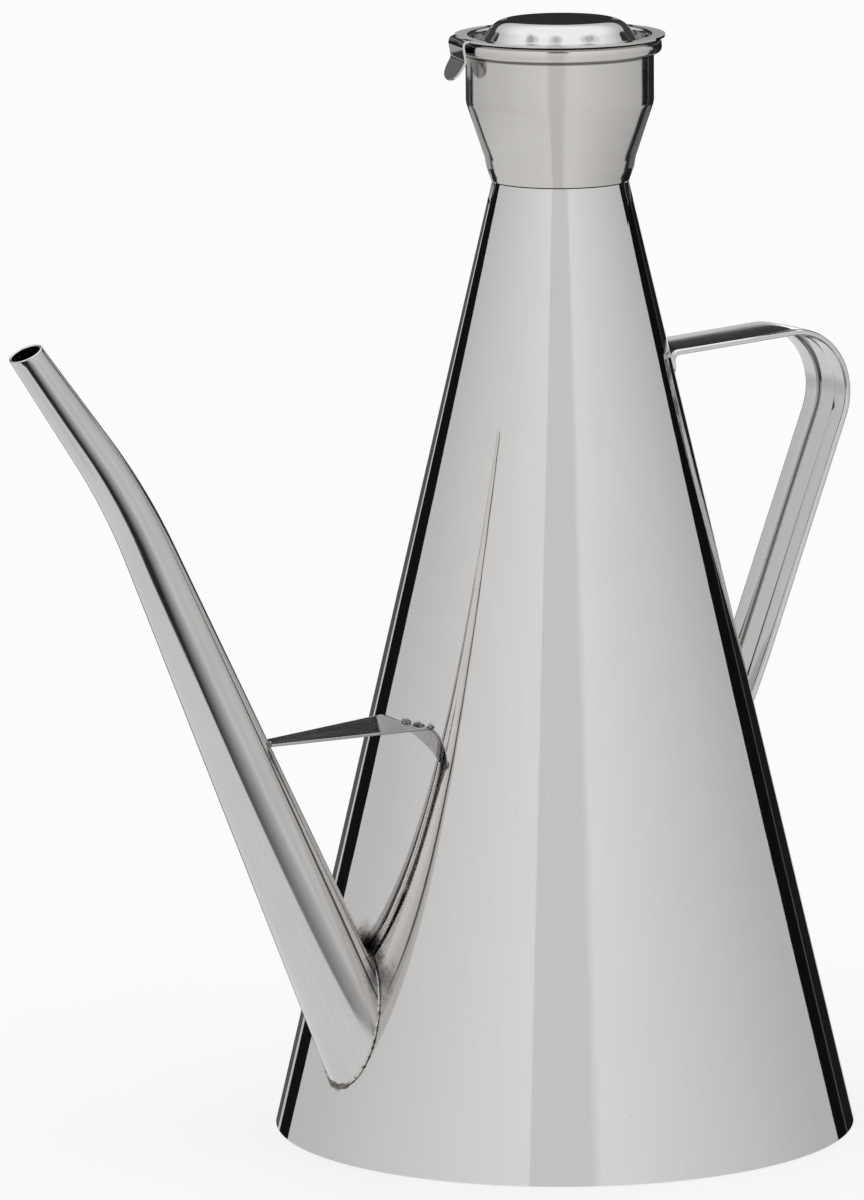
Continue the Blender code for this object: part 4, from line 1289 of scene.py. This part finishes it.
def make_collar_light():
    """A ring round the neck, lit on top and clear from below, that the collar's taper reflects."""
    turns = turns_of(RING_SIDES)
    rows = [[(r * cos(a), r * sin(a), RING_HEIGHT) for a in turns] for r in RING_RADII]
    ring = add_grid("collar_light", rows, round_columns=True)
    if ring.data.polygons[0].normal.z < 0:
        ring.data.flip_normals()
    nodes = new_material("collar_light")
    under = nodes.add("NewGeometry").outputs["Backfacing"]
    finish_card(ring, nodes.finish(nodes.clear(under, nodes.light(ring_level(nodes)))))


# Cards: name, azimuths of both sides, distance, foot, top, level and how softly the top ends

FAR = 1.5
FAR_BAND = (FAR, -0.50, 0.42)
COLLAR_BAND = (0.085, 0.2035, 0.2245)
NEAR = 0.265
FLANGE_BAND = (0.250, 0.256, 0.270)
CARDS = (
    ("left_black", (-153.4, -119.7), (-158.7, -143.1), *FAR_BAND, 0.008, 0.09),
    ("left_grey", (-163.2, -145.4), -172, *FAR_BAND, 0.10, 0.09),
    ("right_black", (147, 119), (149, 142), *FAR_BAND, 0.006, 0.09),
    ("right_line", (149, 142), (151, 144), *FAR_BAND, 0.07, 0.09),
    ("right_black_2", (151, 144), 168, *FAR_BAND, 0.012, 0.09),
    ("back_light", 168, 176.6, FAR, 0.30, 0.70, 1.4),
    ("back_grey", 176.6, 179.7, FAR, 0.455, 0.66, 0.045),
    ("back_grey_2", 179.7, 192, FAR, 0.31, 0.62, 0.04),
    ("collar_left", -121.7, -131, *COLLAR_BAND, 0.01),
    ("collar_left_line", -131, -133, *COLLAR_BAND, 0.30),
    ("collar_left_grey", -133, -165, *COLLAR_BAND, 0.05),
    ("tab_light", -128, -144, 0.080, 0.2187, 0.2235, 0.42),
    ("collar_right", 109, 124.6, *COLLAR_BAND, 0.01),
    ("collar_right_line", 124.6, 126.7, *COLLAR_BAND, 0.20),
    ("collar_right_grey", 126.7, 162, *COLLAR_BAND, 0.02),
    ("lid_left_1", -116, -129, NEAR, 0.262, 0.374, 0.05),
    ("lid_left_2", -129, -135, NEAR, 0.262, 0.374, 0.26),
    ("lid_left_3", -135, -166, NEAR, 0.279, 0.345, 0.06),
    ("tab_card", -135, -162, NEAR, 0.232, 0.279, 0.17),
    ("lid_right_1", 116, 134, NEAR, 0.262, 0.378, 0.04),
    ("lid_right_2", 134, 138, NEAR, 0.262, 0.36, 0.10),
    ("lid_right_3", 138, 166, NEAR, 0.262, 0.345, 0.06),
    ("lid_back", 166, 194, NEAR, 0.240, 0.345, 0.03),
    ("flange_left", 184, 187.5, *FLANGE_BAND, 0.45),
    ("flange_right", 172.5, 176, *FLANGE_BAND, 0.40),
)


def make_card(name, start, end, distance, foot, top, level, soft=0.0):
    """An upright card; a leaning side is given by two azimuths, at its foot and at its top."""
    start, end = [side if isinstance(side, tuple) else (side, side) for side in (start, end)]
    corners = []
    for height, turn in ((foot, start[0]), (foot, end[0]), (top, end[1]), (top, start[1])):
        angle = CAMERA_SIDE + radians(turn)
        corners.append((distance * cos(angle), distance * sin(angle), height))
    card = one_face(name, corners)
    nodes = new_material(name)
    shader = nodes.light(level)
    if soft:
        shader = nodes.clear(nodes.span(nodes.height(nodes.place()), top - soft, top), shader)
    finish_card(card, nodes.finish(shader))


make_camera()
make_world()
make_floor()
make_collar_light()
make_table_shade_card()
for card in CARDS:
    make_card(*card)
bpy.context.scene.view_settings.view_transform = "Standard"
